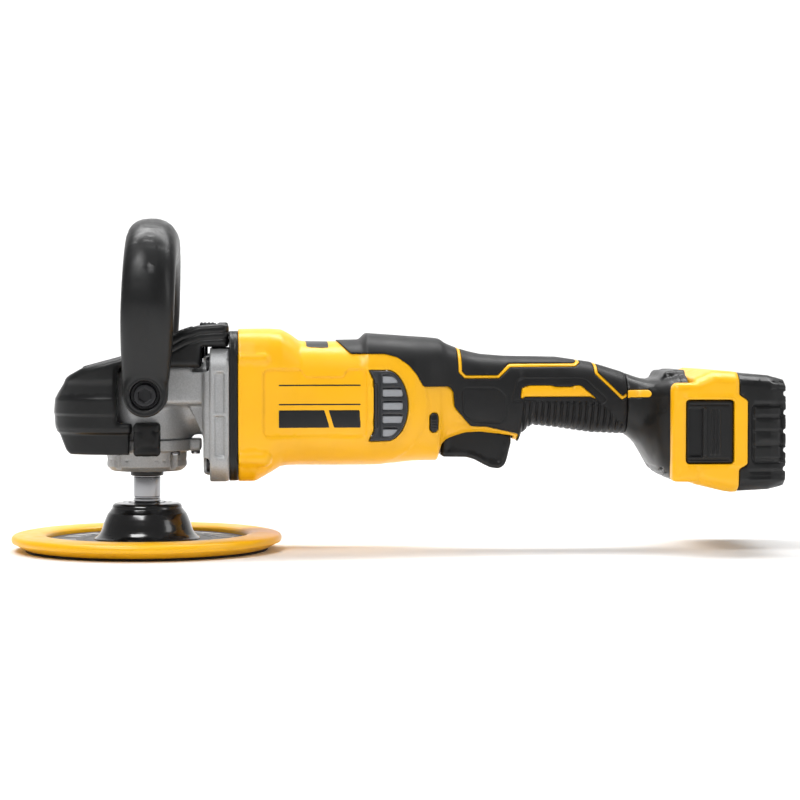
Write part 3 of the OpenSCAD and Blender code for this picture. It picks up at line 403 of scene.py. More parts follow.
ARC_C = (143.0, 96.0)
OVERMOULD = fillet([
    (122.8, 136.0), (131, 127.8), (152.7, 127.8), (161, 125.6), (168.2, 120.6), (173.6, 114.2), (177.8, 106.6),
    (195, 106.5), (197.9, 103), (198.5, 93.4), (209.8, 80.4), (220.1, 80.1), (241.5, 75.2),
    (241.8, 50), (330, 50), (330, 160), (120, 160),
], 1.4)
TRIM_FRONT = [(202.3, 132.5), (202.5, 115.7), (205.7, 112.6), (227.7, 112.6), (235.3, 119.8), (278.4, 120.1),
              (281.1, 122), (281, 128)]
TRIM_REAR = [(292.1, 124), (292.4, 114.7), (308.7, 98.7), (311.9, 100.6)]
FOOT_STRIPE = [(312.3, 100.9), (314, 101.4), (324.4, 101.6)]
PLATE = fillet([
    (242.6, 98.9), (243.2, 105.2), (247.7, 106.7), (262.8, 106.7), (264.7, 105.9), (275.9, 105.8), (277.8, 106.7),
    (281.8, 106.7), (291.8, 98.2), (288.6, 99.7), (244.6, 99.7), (243.4, 98.2),
], 0.8)
RIBS = [(243.3, 96.8), (294.4, 96.8), (306.3, 84.2), (320.2, 76.4), (320, 60), (243.3, 60)]
GRIP_PANELS = [
    fillet([(204.6, 88.6), (211.9, 83.2), (229.8, 82.4), (232.4, 85.6), (232.4, 100.2), (226.6, 105.3),
            (205.8, 105.3), (203.8, 102.6)], 3),
    fillet([(236.2, 96.2), (240.4, 111.4), (284.2, 111.4), (299.2, 97.4), (294.8, 94.2), (243.4, 97.6)], 3),
]
SIDE_PANEL = fillet([
    (75.5, 75), (75.5, 117.6), (99.5, 117.6), (101.4, 113), (126.6, 113), (128.5, 117.6), (141, 117.6), (141, 75),
], 3.2)
VENT_Z, LOUVRE_PITCH = 94.55, 8.5
VENT = [(142.6, 71.9), (145.8, 78.5), (145.8, 110.8), (142.6, 117.2)] + [
    (153.5 + 14 * math.cos(a), VENT_Z + 22.65 * math.sin(a)) for a in np.radians(np.arange(80, -81, -8))
]
LOUVRES = [(VENT_Z + (i - 2) * LOUVRE_PITCH, 9.6 if i in (0, 4) else 12.8) for i in range(5)]
SCREWS = [(66, 134), (66, 55.5), (146.5, 123), (176, 64), (225, 118), (303, 84)]
TRIM_HALF = 1.0
SEAM = 0.14


def overmould_gap(x, z):
    """Distance in side view to the rubber's region: negative where the housing is covered."""
    d = polygon(x, z, OVERMOULD)
    for line in (TRIM_FRONT, TRIM_REAR):
        d = np.maximum(d, TRIM_HALF + 0.15 - path_field(x, z, line))
    return np.maximum(d, 0.3 - polygon(x, z, PLATE))


def trim_region(x, z):
    d = np.minimum(path_field(x, z, TRIM_FRONT), path_field(x, z, TRIM_REAR)) - TRIM_HALF
    return np.minimum(d, polygon(x, z, PLATE))


def rubber_relief(x, z):
    """Height of the rubber's moulded relief: finger ribs and two shallow panels."""
    region = polygon(x, z, RIBS)
    pitch = 4.1
    wave = np.abs((x - 245 - 0.05 * (z - 97)) / pitch % 1 - 0.5) * 2
    groove = ease((wave - 0.5) / 0.35) * 1.05
    relief = -groove * ease(-region / 0.7) + 0.25 * ease(-region / 0.9)
    for panel in GRIP_PANELS:
        edge = polygon(x, z, panel)
        relief = relief - 0.35 * ease(-edge / 0.8 + 0.5) - 0.45 * crease(edge, 0, 0.9)
    return relief - 0.3 * crease(x, 311.2, 0.8)


def rating_region(x, y):
    return rect(x, np.abs(y), (102.5, -40), (117.5, 27), 2)


def side_half(d, y, side):
    """One half of the clamshell, with a fine rounded edge at the joint line."""
    return meet(d, SEAM / 2 - side * y, 0.35)


def trigger_room(x, y, z):
    return block(x, y, z, (191.0, -10.2, 40), (238.2, 10.2, 84), 1.2)


def vent_room(x, y, z):
    return meet(polygon(x, z, VENT) - 0.25, 31 - np.abs(y), 0.4)


def screw_rooms(d, x, y, z, r=3.4):
    for sx, sz in SCREWS:
        d = cut(d, rod(x, z, y, (sx, sz), r, 11, 60), 0.4)
    return d


def lock_room(x, z):
    return rect(x, z, (LOCK_X - 3, LOCK_Z - 6.4), (LOCK_X + 3, LOCK_Z + 6.4), 3)


def housing_shape(side):
    def shape(x, y, z):
        d = body(x, y, z)
        inner = d + WALL
        past_arc = np.hypot(x - ARC_C[0], (z - ARC_C[1]) * 0.93) - 36.8
        relief = -0.75 * ease(past_arc / 1.6) * ease((118 - z) / 6) * ease((x - 150) / 8)
        relief = relief - 1.2 * ease(-polygon(x, z, SIDE_PANEL) / 0.8 + 0.5) * (np.abs(y) > 25)
        relief = relief - 0.45 * ease(-rating_region(x, y) / 0.4) * (z > 115)
        trim = 0.95 * ease(-trim_region(x, z) / 0.4 + 0.6)
        rim = np.abs(polygon(x, z, VENT)) - 1.6
        relief = relief + 0.4 * ease(-rim / 0.9)
        covered = -1.15 * ease(-overmould_gap(x, z) / 0.4)
        d = d - relief - np.maximum(trim, 0) - covered
        for bz in (124.3, 61.6):
            bump = np.sqrt((z - bz) ** 2 + (np.abs(y) - 38.6) ** 2 + np.maximum(x - 75.2, 0) ** 2) - 5.6
            d = blend(d, np.maximum(bump, 59.4 - x), 0.7)
        d = meet(d, slab(x, BODY_START, BODY_END), 0.8)
        d = cut(d, inner, 0.3)
        for bx, bz in SCREWS:
            boss = meet(np.hypot(x - bx, z - bz) - 5, body(x, y, z) + 1.2, 0.3)
            d = np.minimum(d, boss)
        if side > 0:
            d = screw_rooms(d, x, y, z)
        else:
            d = cut(d, meet(lock_room(x, z), y + 12, 0.2), 0.5)
        d = cut(d, vent_room(x, y, z), 0.5)
        d = cut(d, trigger_room(x, y, z), 0.6)
        d = cut(d, block(x, y, z, (DIAL_X - 12.4, -6.8, 124), (DIAL_X + 12.4, 6.8, 150), 1), 0.4)
        return side_half(d, y, side)
    return shape


def overmould_shape(side):
    def shape(x, y, z):
        d = body(x, y, z)
        skin = meet(d - RUBBER - rubber_relief(x, z), -(d + 1.1), 0.2)
        d = meet(skin, overmould_gap(x, z), 0.75)
        d = np.maximum(d, x - BODY_END)
        if side > 0:
            d = screw_rooms(d, x, y, z)
        d = cut(d, trigger_room(x, y, z), 0.6)
        d = cut(d, block(x, y, z, (DIAL_X - 11, -5.4, 124), (DIAL_X + 11, 5.4, 150), 1), 0.4)
        return side_half(d, y, side)
    return shape


PITCH = 0.62
for side, hand, y0, y1 in hands(-0.4, 46):
    dress(solid(f"body_shell_{hand}", housing_shape(side), (BODY_START, y0, 43), (BODY_END, y1, 146), PITCH),
          M_YELLOW, "tool_body", "yellow_plastic", f"housing_{hand}")
    dress(solid(f"grip_rubber_{hand}", overmould_shape(side), (120, y0, 66), (BODY_END, y1, 143), PITCH * 0.85, 0.04),
          M_RUBBER, "tool_body", "black_rubber", f"overmould_{hand}")


def rating_shape(x, y, z):
    d = body(x, y, z)
    d = meet(np.maximum(d + 0.05, -(d + 1.0)), rating_region(x, y) + 0.35, 0.3)
    return np.maximum(d, 110 - z)


LABELS = [
    fillet([(84.9, 80.6), (84.9, 91.9), (114, 91.9), (117.5, 80.6)], 0.6),
    fillet([(120.2, 80.6), (116.7, 91.9), (137.2, 91.9), (137.2, 80.6)], 0.6),
    [(84.9, 107.2), (84.9, 108.2), (137.2, 108.2), (137.2, 107.2)],
    [(84.9, 95.0), (84.9, 96.0), (137.2, 96.0), (137.2, 95.0)],
]


def label_shape(x, y, z):
    """Plain decal on the side panel: two bars and two rules, with no text."""
    d = body(x, y, z) + 1.15
    region = np.minimum.reduce([polygon(x, z, p) for p in LABELS])
    return meet(np.maximum(d - 0.16, -(d + 0.5)), region, 0.12)


dress(solid("rating_patch", rating_shape, (102, -28, 115), (118, 28, 137), PITCH * 0.8), M_BLACK, "tool_body",
      "black_plastic")
for side, hand, y0, y1 in hands(34, 42):
    dress(solid(f"side_decal_{hand}", label_shape, (84, y0, 79), (138, y1, 109), PITCH * 0.55), M_BLACK, "tool_body",
          "black_plastic")

# ---------- Vents, foot and controls ----------

FINE = 0.45


def vent_frame(side):
    def shape(x, y, z):
        w = y * side
        outline = polygon(x, z, VENT) + 0.15
        d = meet(outline, slab(w, 34.6, 39.0), 0.7)
        notch = rect(x, z, (140, 80), (148.2, 109), 1.2)
        d = cut(d, meet(notch, 37.4 - w, 0.3), 0.4)
        for z0, length in LOUVRES:
            hole = rect(x, z, (151.2, z0 - 2.9), (151.2 + length, z0 + 2.9), 1.1)
            hole = np.maximum(hole, outline + 2.4)
            d = cut(d, hole, 0.5)
        bars = meet(rect(x, z, (148.8, 74), (150.0, 115), 0.5), 38.2 - w, 0.2)
        return cut(d, bars, 0.3)
    return shape


def vent_blades(side):
    def shape(x, y, z):
        w = y * side
        phase = (z - VENT_Z + 0.25 * (w - 36)) / LOUVRE_PITCH % 1
        blades = (0.5 - np.abs(phase - 0.5)) * LOUVRE_PITCH - 2.55
        d = meet(blades, slab(w, 33.4, 38.1), 0.9)
        back = slab(w, 33.0, 34.0)
        d = np.minimum(np.maximum(d, 150.6 - x), back)
        return meet(d, polygon(x, z, VENT) + 1.2, 0.3)
    return shape


for side, hand, y0, y1 in hands(33, 39.4):
    dress(solid(f"vent_frame_{hand}", vent_frame(side), (142, y0, 71), (168, y1, 118), FINE), M_SLATE, "tool_body",
          "grey_plastic", f"vent_shield_{hand}")
    dress(solid(f"vent_blades_{hand}", vent_blades(side), (142, y0, 71), (168, y1, 118), FINE * 0.9), M_GREY,
          "tool_body", "grey_plastic", f"vent_mesh_{hand}")


def foot_body(x, y, z):
    return loft(FOOT_STATIONS, 1.2, x, y, z)


def foot_shape(x, y, z):
    d = foot_body(x, y, z)
    for gx, depth in ((328.6, 0.35), (339.8, 0.6), (344.6, 0.6)):
        d = d + depth * crease(x, gx, 0.8)
    facet = (z - 78) * 0.8 - (x - 318) * 0.6  # the slanted facet below the stripe
    below = ease((102 - z) / 5)
    sunk = ease(facet / 1.4 - 0.2) * ease((x - 318) / 8) * (np.abs(y) > 16)
    d = d + 1.2 * below * sunk * ease((338 - x) / 4)
    shoulder = np.abs(facet - 14) - 0.6
    ends = ease((x - 322) / 4) * ease((338 - x) / 3)
    d = d + 0.7 * below * ease(1 - shoulder / 0.6) * ends
    d = blend(d, block(x, y, z, (334.5, -27, 100), (352, 27, 116.4), 4), 2.0)
    d = d - 0.7 * ease((x - 341.6) / 0.8)
    d = meet(d, slab(x, BODY_END + 0.3, FOOT_END), 0.7)
    d = cut(d, block(x, y, z, (FOOT_END - 6.7, -60, 51.3), (360, 38, 105.3), 0.6), 0.4)
    d = cut(d, block(x, y, z, (FOOT_END - 17, -15, 62.5), (350, 17, 94), 0.5), 0.3)
    for sx in (330.6, 333.4, 336.2):
        slot = block(x, y, z, (sx - 0.7, -30, 40), (sx + 0.7, 30, 54), 0.6)
        d = cut(d, slot, 0.3)
    room = path_field(x, z, FOOT_STRIPE) - 2.6
    return cut(d, np.maximum(room, -(foot_body(x, y, z) + 0.8)), 0.25)


def stripe_shape(x, y, z):
    d = foot_body(x, y, z)
    d = meet(path_field(x, z, FOOT_STRIPE) - 2.4, np.maximum(d - 0.35, -(d + 0.8)), 0.35)
    return np.maximum(np.maximum(d, BODY_END + 0.5 - x), 12 - np.abs(y))


dress(solid("battery_foot_shell", foot_shape, (BODY_END, -43, 44), (FOOT_END, 43, 116), PITCH), M_BLACK,
      "tool_body", "black_plastic", "battery_foot")
for side, hand, y0, y1 in hands(12, 30):
    dress(solid(f"grip_stripe_{hand}", stripe_shape, (312, y0, 96), (328, y1, 106), FINE), M_YELLOW, "tool_body",
          "yellow_plastic")

TRIGGER = fillet([
    (192.3, 73), (190.9, 62), (192.4, 60.1), (207.7, 59.9), (213.0, 58.4), (218.2, 55.5), (223.6, 52.9),
    (229.2, 52.2), (232.4, 53.8), (234.2, 57.2), (237.2, 69.5), (237.0, 75), (205, 81.5), (193.4, 81.5),
], 1.6)


def trigger_shape(x, y, z):
    outline = polygon(x, z, TRIGGER)
    bulge = 0.5 * ease((outline + 4.4) / 1.2) * (z < 72)
    d = meet(outline, np.abs(y) - 9.2 - bulge + 0.3, 2.0)
    d = cut(d, block(x, y, z, (201.5, -7.2, 63), (229.4, 7.2, 90), 1.0), 0.4)
    return cut(d, rod(x, z, y, (TRIGGER_X, TRIGGER_Z), 1.9, -14, 14), 0.2)


dress(solid("trigger_paddle", trigger_shape, (190, -9.6, 51), (238, 9.6, 82), FINE * 1.1), M_BLACK, "trigger_lever",
      "black_plastic", "trigger")


def lock_on_shape(x, y, z):
    outline = rect(x, z, (LOCK_X - 2.7, LOCK_Z - 6.1), (LOCK_X + 2.7, LOCK_Z + 6.1), 2.7)
    ridge = 0.35 * ease(1 - np.abs((z - LOCK_Z + 0.9) % 1.8 - 0.9) / 0.6) * (np.abs(z - LOCK_Z) < 3.5)
    return meet(outline, slab(y + ridge, -31.4 + 0.02, -22), 1.0)


def dial_shape(x, y, z):
    turn = np.arctan2(z - DIAL_Z, x - DIAL_X)
    radius = np.hypot(x - DIAL_X, z - DIAL_Z)
    scallop = 0.45 * ease(np.cos(24 * turn) * 0.5 + 0.5)
    d = meet(radius - 10.3 + scallop, np.abs(y) - 4, 0.9)
    return np.minimum(d, rod(x, z, y, (DIAL_X, DIAL_Z), 1.5, -8.5, 8.5))


def lock_button_shape(x, y, z):
    low, high = node_box("spindle_lock_button")
    groove = 0.7 * ease(1 - np.abs((x - low[0] - 1.2) % 2.4 - 1.2) / 0.7) * (z > high[2] - 2)
    d = block(x, y, z, low, high, 1.3)
    return np.maximum(d, z - high[2] + groove)


for name, shape, node, body_name, slot, mat in (
    ("lock_on_tip", lock_on_shape, "lock_on_button", "lock_on", "black_plastic", M_BLACK),
    ("dial_wheel", dial_shape, "speed_dial", "dial", "grey_plastic", M_SLATE),
    ("spindle_lock_cap", lock_button_shape, "spindle_lock_button", "spindle_lock", "grey_plastic", M_SLATE),
):
    low, high = node_box(node)
    dress(solid(name, shape, low, high, 0.35), mat, body_name, slot, node)

# ---------- Gear head ----------


def flange_field(x, y, z, inset, x0, x1, edge):
    outline = rect(y, z, (-43.5 + inset, 46 + inset), (43.5 - inset, 131.7 - inset), 15 - inset / 2)
    return meet(outline, slab(x, x0, x1), edge)


def gear_case_shape(x, y, z):
    r = np.hypot(x, y)
    d = meet(meet(r - 29, slab(z, CASE_LOW, CASE_TOP), 1.5), (r + z - 144.5) * 0.7071, 1.0)
    neck = block(x, y, z, (0, -32, 94.7), (48, 32, 121), 4)
    d = blend(d, neck, 3)
    d = blend(d, rod(y, z, x, MOTOR_AXIS, 18, 18, 44), 4)
    ribs = np.maximum(np.abs(np.abs(y) - 20) - 1.6, np.maximum((x - 44), (28 - x)))
    ribs = np.maximum(ribs, np.maximum(z - 96, 96 - z - (x - 27) * 2.2))
    d = blend(d, ribs, 1.4)
    bevel = flange_field(x, y, z, 4.2, 37.0, 44, 3.0)
    plate = flange_field(x, y, z, 0, 41.2, FLANGE_END, 1.0)
    pocket = block(x, np.abs(y), z, (44.4, 42.1, 63), (50.4, 60, 116), 1.2)
    plate = cut(plate, np.maximum(pocket, 1.2 - np.abs(z - 89.5)), 0.5)
    d = np.minimum(blend(d, bevel, 2.2), plate)
    for by in (-1, 1):
        d = blend(d, rod(x, z, y * by, (BAIL_X, BAIL_Z), 12, 18, 43), 2.5)
    chamber = np.maximum(rod(x, y, z, (0, 0), 25.5, 60, 117.5), -np.maximum(r - 13, 112 - z))
    chamber = np.minimum(chamber, rod(x, y, z, (0, 0), 10.5, 60, 117.5))
    d = np.maximum(d, -chamber)
    for radius, x0, x1 in ((9.5, 18, 26), (11, 25.9, 36), (9.5, 35.9, 39.3), (14.5, 39.2, 56)):
        d = np.maximum(d, -rod(y, z, x, SHAFT_AXIS, radius, x0, x1))
    d = np.maximum(d, -rod(y, z, x, MOTOR_AXIS, 8, 37, 56))
    d = np.maximum(d, -rod(x, y, z, LOCK_PIN, 2.3, 112, 150))
    for sy in (-FLANGE_SCREW_Y, FLANGE_SCREW_Y):
        for sz in FLANGE_SCREW_Z:
            d = cut(d, rod(y, z, x, (sy, sz), 5.0, 30, 43), 0.5)
            notch = block(x, np.abs(y), z, (30, 33, sz - 4.2), (40.6, 60, sz + 4.2), 1.5)
            d = cut(d, notch, 0.5)
    for by in (-1, 1):
        d = np.maximum(d, -rod(x, z, y * by, (BAIL_X, BAIL_Z), 4.1, 24, 60))
    return d


def collar_shape(x, y, z):
    r = np.hypot(x, y)
    chamfer = (r - 22.8 - (z - COLLAR_LOW)) * 0.7071
    lower = meet(np.maximum(r - 25.8, chamfer), slab(z, COLLAR_LOW, 66), 0.5)
    upper = meet(r - 30.5, slab(z, 65, CASE_LOW), 0.8)
    lug = block(x, y, z, (0, -12, 65), (35.4, 12, CASE_LOW), 1.6)
    d = blend(blend(upper, lower, 1.2), lug, 1.0)
    d = d + 0.3 * crease(z, 59.2, 0.7)
    d = np.maximum(d, -rod(x, y, z, (0, 0), 20, 54, 90))
    d = np.maximum(d, -rod(x, y, z, (0, 0), 11, 40, 60))
    for place in COLLAR_SCREWS:
        d = cut(d, rod(x, y, z, place, 3.4, 40, 65), 0.3)
        d = np.maximum(d, -rod(x, y, z, place, 2.0, 50, 80))
    return d


NOSE_X, NOSE_R = -22.5, 38.4
COVER = fillet([
    (-60.8, 90), (-59.1, 100.3), (-49.7, 113.4), (-39.9, 118.8), (-16.8, 125.0), (0, 130), (12, 136.8),
    (22.3, 142.2), (34, 146), (50, 147.2), (53.2, 146), (53.2, 132), (36, 131.9), (36, 118.8), (-17, 118.8),
    (-17, 84.2), (-7.6, 84.2), (-7.6, 61.3), (-48.7, 61.4), (-52.3, 64.5), (-60, 81.1),
], 2.2)
ROOF = [(-60.8, 90), (-59.1, 100.3), (-49.7, 112.8), (-39.9, 117.6), (-16.8, 123.6), (0, 129), (12, 136.5),
        (22.3, 142.2), (34, 146), (54, 147.2)]


def cover_shape(x, y, z):
    outline = polygon(x, z, COVER)
    nose = np.hypot(x - NOSE_X, y) - NOSE_R
    sides = np.maximum(np.abs(y) - 36 - np.clip(20 - x, 0, 42) * 0.057, NOSE_X - x)
    plan = np.minimum(nose, np.maximum(sides, x - 60))
    plan = np.maximum(plan, np.abs(y) - 36 - np.clip(22 - x, 0, 30) * 0.08)
    d = meet(outline, plan, 3.6)
    slant = z - 78.5 + np.clip(x + 6, 0, 20) * 1.2
    low = ease(-slant / 2.4) * 1.7 + ease((89.8 - z) / 1.8) * 0.55
    high = ease((z - 98.6) / 2.2) * 0.7
    d = d + low + high * ease((-14 - x) / 2) * ease((112 - z) / 4)
    d = d + 0.3 * crease(z, 78.9, 1.3) * ease((-8 - x) / 2)
    roof = path_field(x, z, ROOF)
    for depth in (5.5, 9.5):
        line = np.abs(roof - depth) - 0.2
        d = d + 0.55 * ease(1 - line / 0.7) * ease((x + 6) / 4) * (np.abs(y) > 20) * (z > 119)
    strip = rect(x, y, (-41, -13), (30, 13), 3)
    d = d - 0.9 * ease(-strip / 1.2 + 0.4) * (z > 110)
    for k in range(4):
        rung = block(x, y, z, (24 + 3 * k, -24, 120), (25.6 + 3 * k, 24, 160), 0.5)
        d = d + 0.6 * ease(0.5 - rung / 0.5) * (z > 138) * (np.abs(y) > 9)
    tab = block(x, y, z, (46.4, -22, 140), (52.6, 22, 147.9), 1.2)
    d = blend(d, tab, 0.8)
    case_room = np.maximum(rod(x, y, z, (0, 0), 31, 40, 121.3), (np.hypot(x, y) + z - 146.2) * 0.7071)
    d = cut(d, case_room, 0.5)
    d = cut(d, block(x, y, z, (-2, -32.3, 60), (80, 32.3, 121.3), 0.6), 0.5)
    d = cut(d, block(x, y, z, (36, -50, 60), (66, 50, 132), 0.6), 0.5)
    nose_room = meet(polygon(x, z, COVER) + 5.0, np.minimum(nose, plan) + 5.0, 1)
    d = np.maximum(d, -np.maximum(nose_room, x - 20))
    d = cut(d, block(x, y, z, (31.6, -7.5, 138.2), (46.0, 7.5, 160), 1.0), 0.5)
    d = np.maximum(d, -rod(x, y, z, LOCK_PIN, 2.4, 115, 160))
    for by in (-1, 1):
        d = cut(d, rod(x, z, y * by, (BAIL_X, BAIL_Z), 14.5, 20, 50), 0.5)
    return d


def side_pad_shape(x, y, z):
    w = np.abs(y)
    d = block(x, w, z, (-7.2, 25, 62.6), (9.8, 40, 84.0), 2.6)
    for gz in (68, 78.5):
        d = d + 0.5 * crease(z, gz, 0.8)
    d = d - 0.35 * ease(-rect(x, z, (-4.6, 70), (7.2, 76.4), 1.2) / 0.6)
    d = cut(d, rod(x, y, z, (0, 0), 29.05, 70, 90), 0.2)
    d = cut(d, rod(x, y, z, (0, 0), 30.6, 40, 72.5), 0.2)
    for sx in PAD_SCREW_X:
        d = cut(d, rod(x, w, z, (sx, PAD_SCREW_Y), 2.6, 50, 64.2), 0.2)
    return d


def carrier_shape(x, y, z):
    outline = rect(y, z, (-42.7, 46.4), (42.7, 142.4), 16)
    d = meet(outline + 0.5 * crease(x, 56.4, 0.7), slab(x, FLANGE_END, BODY_START), 0.5)
    for centre, radius, x0 in ((MOTOR_AXIS, 8.05, 54.5), (MOTOR_AXIS, 5.5, 50), (SHAFT_AXIS, 7.05, 50)):
        x1 = 56.5 if centre[1] > 100 else 61
        d = np.maximum(d, -rod(y, z, x, centre, radius, x0, x1))
    for by in (-1, 1):
        d = cut(d, block(x, y * by, z, (50, 21, 68), (64, 31, 92), 1), 0.3)
        for sz in FLANGE_SCREW_Z:
            d = np.maximum(d, -rod(y * by, z, x, (FLANGE_SCREW_Y, sz), 2.4, 50, 64))
    return d


HEAD = PITCH * 0.95
dress(solid("gear_casting", gear_case_shape, (-30, -44, 45), (54, 44, 133), HEAD), M_CAST, "tool_body",
      "cast_aluminium", "gear_case")
dress(solid("collar_casting", collar_shape, (-31, -31, 51), (36, 31, 73), HEAD * 0.9), M_CAST, "tool_body",
      "cast_aluminium", "spindle_collar")
dress(solid("nose_cover", cover_shape, (-62, -40, 60), (54, 40, 149), HEAD, 0.02), M_BLACK, "tool_body",
      "black_plastic", "head_cover")
for side, hand, y0, y1 in hands(24, 41):
    dress(solid(f"side_bumper_{hand}", side_pad_shape, (-8, y0, 62), (10.5, y1, 85), FINE), M_RUBBER, "tool_body",
          "black_rubber", "side_pads")
dress(solid("carrier_plate", carrier_shape, (53, -43, 46), (60, 43, 143), HEAD), M_BLACK, "tool_body",
      "grey_plastic", "bearing_carrier")

# ---------- Bail handle ----------

LEAN = math.radians(2.2)
BAIL_TOP = 215.0 - 16.3
GRIP_Y, FOOT_Y, BEND = 65.0, 52.0, 40.0


def bail_line():
    """Centre line of half the bail in Y and Z, with the half sizes of its section at each point."""
    rows = []
    for u in np.linspace(0, 1, 61):
        if u < 0.28:
            y, z = (GRIP_Y - BEND) * u / 0.28, BAIL_TOP
            hx, hn = 16.3, 15.5
        elif u < 0.58:
            v = (u - 0.28) / 0.30
            a = v * math.pi / 2
            y, z = GRIP_Y - BEND + BEND * math.sin(a), BAIL_TOP - BEND + BEND * math.cos(a)
            hx, hn = 16.3 + 0.4 * v, 15.5 - 6 * float(ease(v))
        else:
            v = (u - 0.58) / 0.42
            w = float(ease(v))
            y, z = GRIP_Y + (FOOT_Y - GRIP_Y) * w, BAIL_TOP - BEND + (BAIL_Z - BAIL_TOP + BEND) * v
            hx, hn = 16.7 - 2.9 * v * v, 9.5 - 2 * v
        rows.append((y, z, hx, hn))
    return rows


def bail_shape(x, y, z):
    c, s = math.cos(LEAN), math.sin(LEAN)
    u = (x - BAIL_X) * c - (z - BAIL_Z) * s
    v = (x - BAIL_X) * s + (z - BAIL_Z) * c + BAIL_Z
    w = np.abs(y)
    rows = bail_line()
    near = np.full(np.broadcast(w, v).shape, 1e9)
    hx = np.zeros(near.shape)
    hn = np.zeros(near.shape)
    for (ay, az, ahx, ahn), (by, bz, bhx, bhn) in zip(rows, rows[1:]):
        ey, ez = by - ay, bz - az
        t = np.clip(((w - ay) * ey + (v - az) * ez) / (ey * ey + ez * ez), 0, 1)
        d = np.hypot(w - ay - t * ey, v - az - t * ez)
        closer = d < near
        near = np.where(closer, d, near)
        hx = np.where(closer, ahx + (bhx - ahx) * t, hx)
        hn = np.where(closer, ahn + (bhn - ahn) * t, hn)
    power = 2.35
    a, b = np.abs(u) / hx, near / hn
    f = np.maximum(a**power + b**power, 1e-9) ** (1 / power)
    slope = np.hypot((a / f) ** (power - 1) / hx, (b / f) ** (power - 1) / hn)
    bar = (f - 1) / np.maximum(slope, 1e-4)
    bar = bar + 0.3 * crease(u, 0, 1.9) * ease((v - BAIL_Z - 18) / 6)  # mould line
    disc = meet(np.hypot(u, v - BAIL_Z) - 13.8, slab(w, 44.6, 59.4), 1.6)
    d = blend(bar, disc, 3)
    d = cut(d, meet(np.hypot(u, v - BAIL_Z) - 5.3, slab(w, 40, 70), 0.1), 0.3)
    d = cut(d, meet(np.hypot(u, v - BAIL_Z) - 9.3, 51.5 - w, 0.3), 0.7)
    d = np.maximum(d, 43.0 - w - 80 * ease((v - BAIL_Z - 13) / 8))
    ring = np.abs(np.hypot(u, v - BAIL_Z) - 11.2) - 0.35
    return d + 0.3 * ease(1 - ring / 0.4) * (w > 57)


def bolt_shape(x, y, z):
    w = np.abs(y)
    r = np.hypot(x - BAIL_X, z - BAIL_Z)
    d = meet(r - 4, slab(w, 26, 43.2), 0.3)
    d = np.minimum(d, meet(r - 5.05, slab(w, 43, 53.2), 0.2))
    d = np.minimum(d, meet(r - 7.5 + 0.2 * np.maximum(w - 56, 0), slab(w, 53, 58), 0.8))
    angles = np.arctan2(z - BAIL_Z, x - BAIL_X)
    hexagon = r * np.cos((angles + math.pi / 6) % (math.pi / 3) - math.pi / 6) - 4.0
    return cut(d, meet(hexagon, 54.8 - w, 0.1), 0.3)


dress(solid("bail_grip", bail_shape, (-17, -76, 87), (27, 76, 216), PITCH, 0.08), M_BLACK, "bail", "black_plastic",
      "bail_handle")
for side, hand, y0, y1 in hands(26, 58):
    dress(solid(f"bail_bolt_{hand}", bolt_shape, (-7, y0, 94), (9, y1, 110), 0.4), M_SCREW, "tool_body",
          "dark_steel", "bail_bolts")

# ---------- Turned pieces ----------


def arc(cx, cy, r, a0, a1, n=8):
    return [(cx + r * math.cos(a), cy + r * math.sin(a)) for a in np.radians(np.linspace(a0, a1, n))]


def lathe(name, profile, steps=192, wave=None):
    """Closed ring turned about Z from an anticlockwise outline of (radius, height), which wave may change."""
    points = np.array(profile, float)
    angles = np.linspace(0, 2 * math.pi, steps, endpoint=False)
    count = len(points)
    verts = []
    for a in angles:
        r, z = points[:, 0], points[:, 1]
        if wave:
            r, z = wave(a, r, z)
        verts.append(np.stack([r * math.cos(a), r * math.sin(a), z], axis=1))
    verts = np.concatenate(verts)
    i = np.repeat(np.arange(steps), count)
    j = np.tile(np.arange(count), steps)
    quads = np.stack([i * count + j, (i + 1) % steps * count + j, (i + 1) % steps * count + (j + 1) % count,
                      i * count + (j + 1) % count], axis=1)
    obj = add_mesh(name, verts, quads)
    obj.data.set_sharp_from_angle(angle=math.radians(32))
    return obj


def soften(points, radius=0.4):
    return fillet(points, radius, 3)


rim_profile = [(11, 1.6), (78.5, 1.6), (80, 2.2), (85.4, 5.2)] + arc(84.3, 7.6, 3.2, -38, 70, 10) + [
    (82.2, 11.3), (78.5, 11.5), (72, 11.5), (68.6, 11.2), (66.2, 10.5), (64.9, 9.2), (64.4, 7.4), (64.3, 5.7),
    (11, 5.7),
]
dress(lathe("pad_ring", soften(rim_profile, 0.5), 256), M_PAD_YELLOW, "output", "pad_rubber", "pad_rim")
plate_profile = [
    (12, 5.7), (64.1, 5.7), (64.1, 7.2), (62.6, 7.2), (61.8, 6.8), (61.0, 7.2), (42.2, 7.2), (41.4, 6.8), (40.6, 7.2),
    (12, 7.2),
]
dress(lathe("pad_disc", soften(plate_profile, 0.25), 192), M_SLATE, "output", "cast_aluminium", "pad_plate")


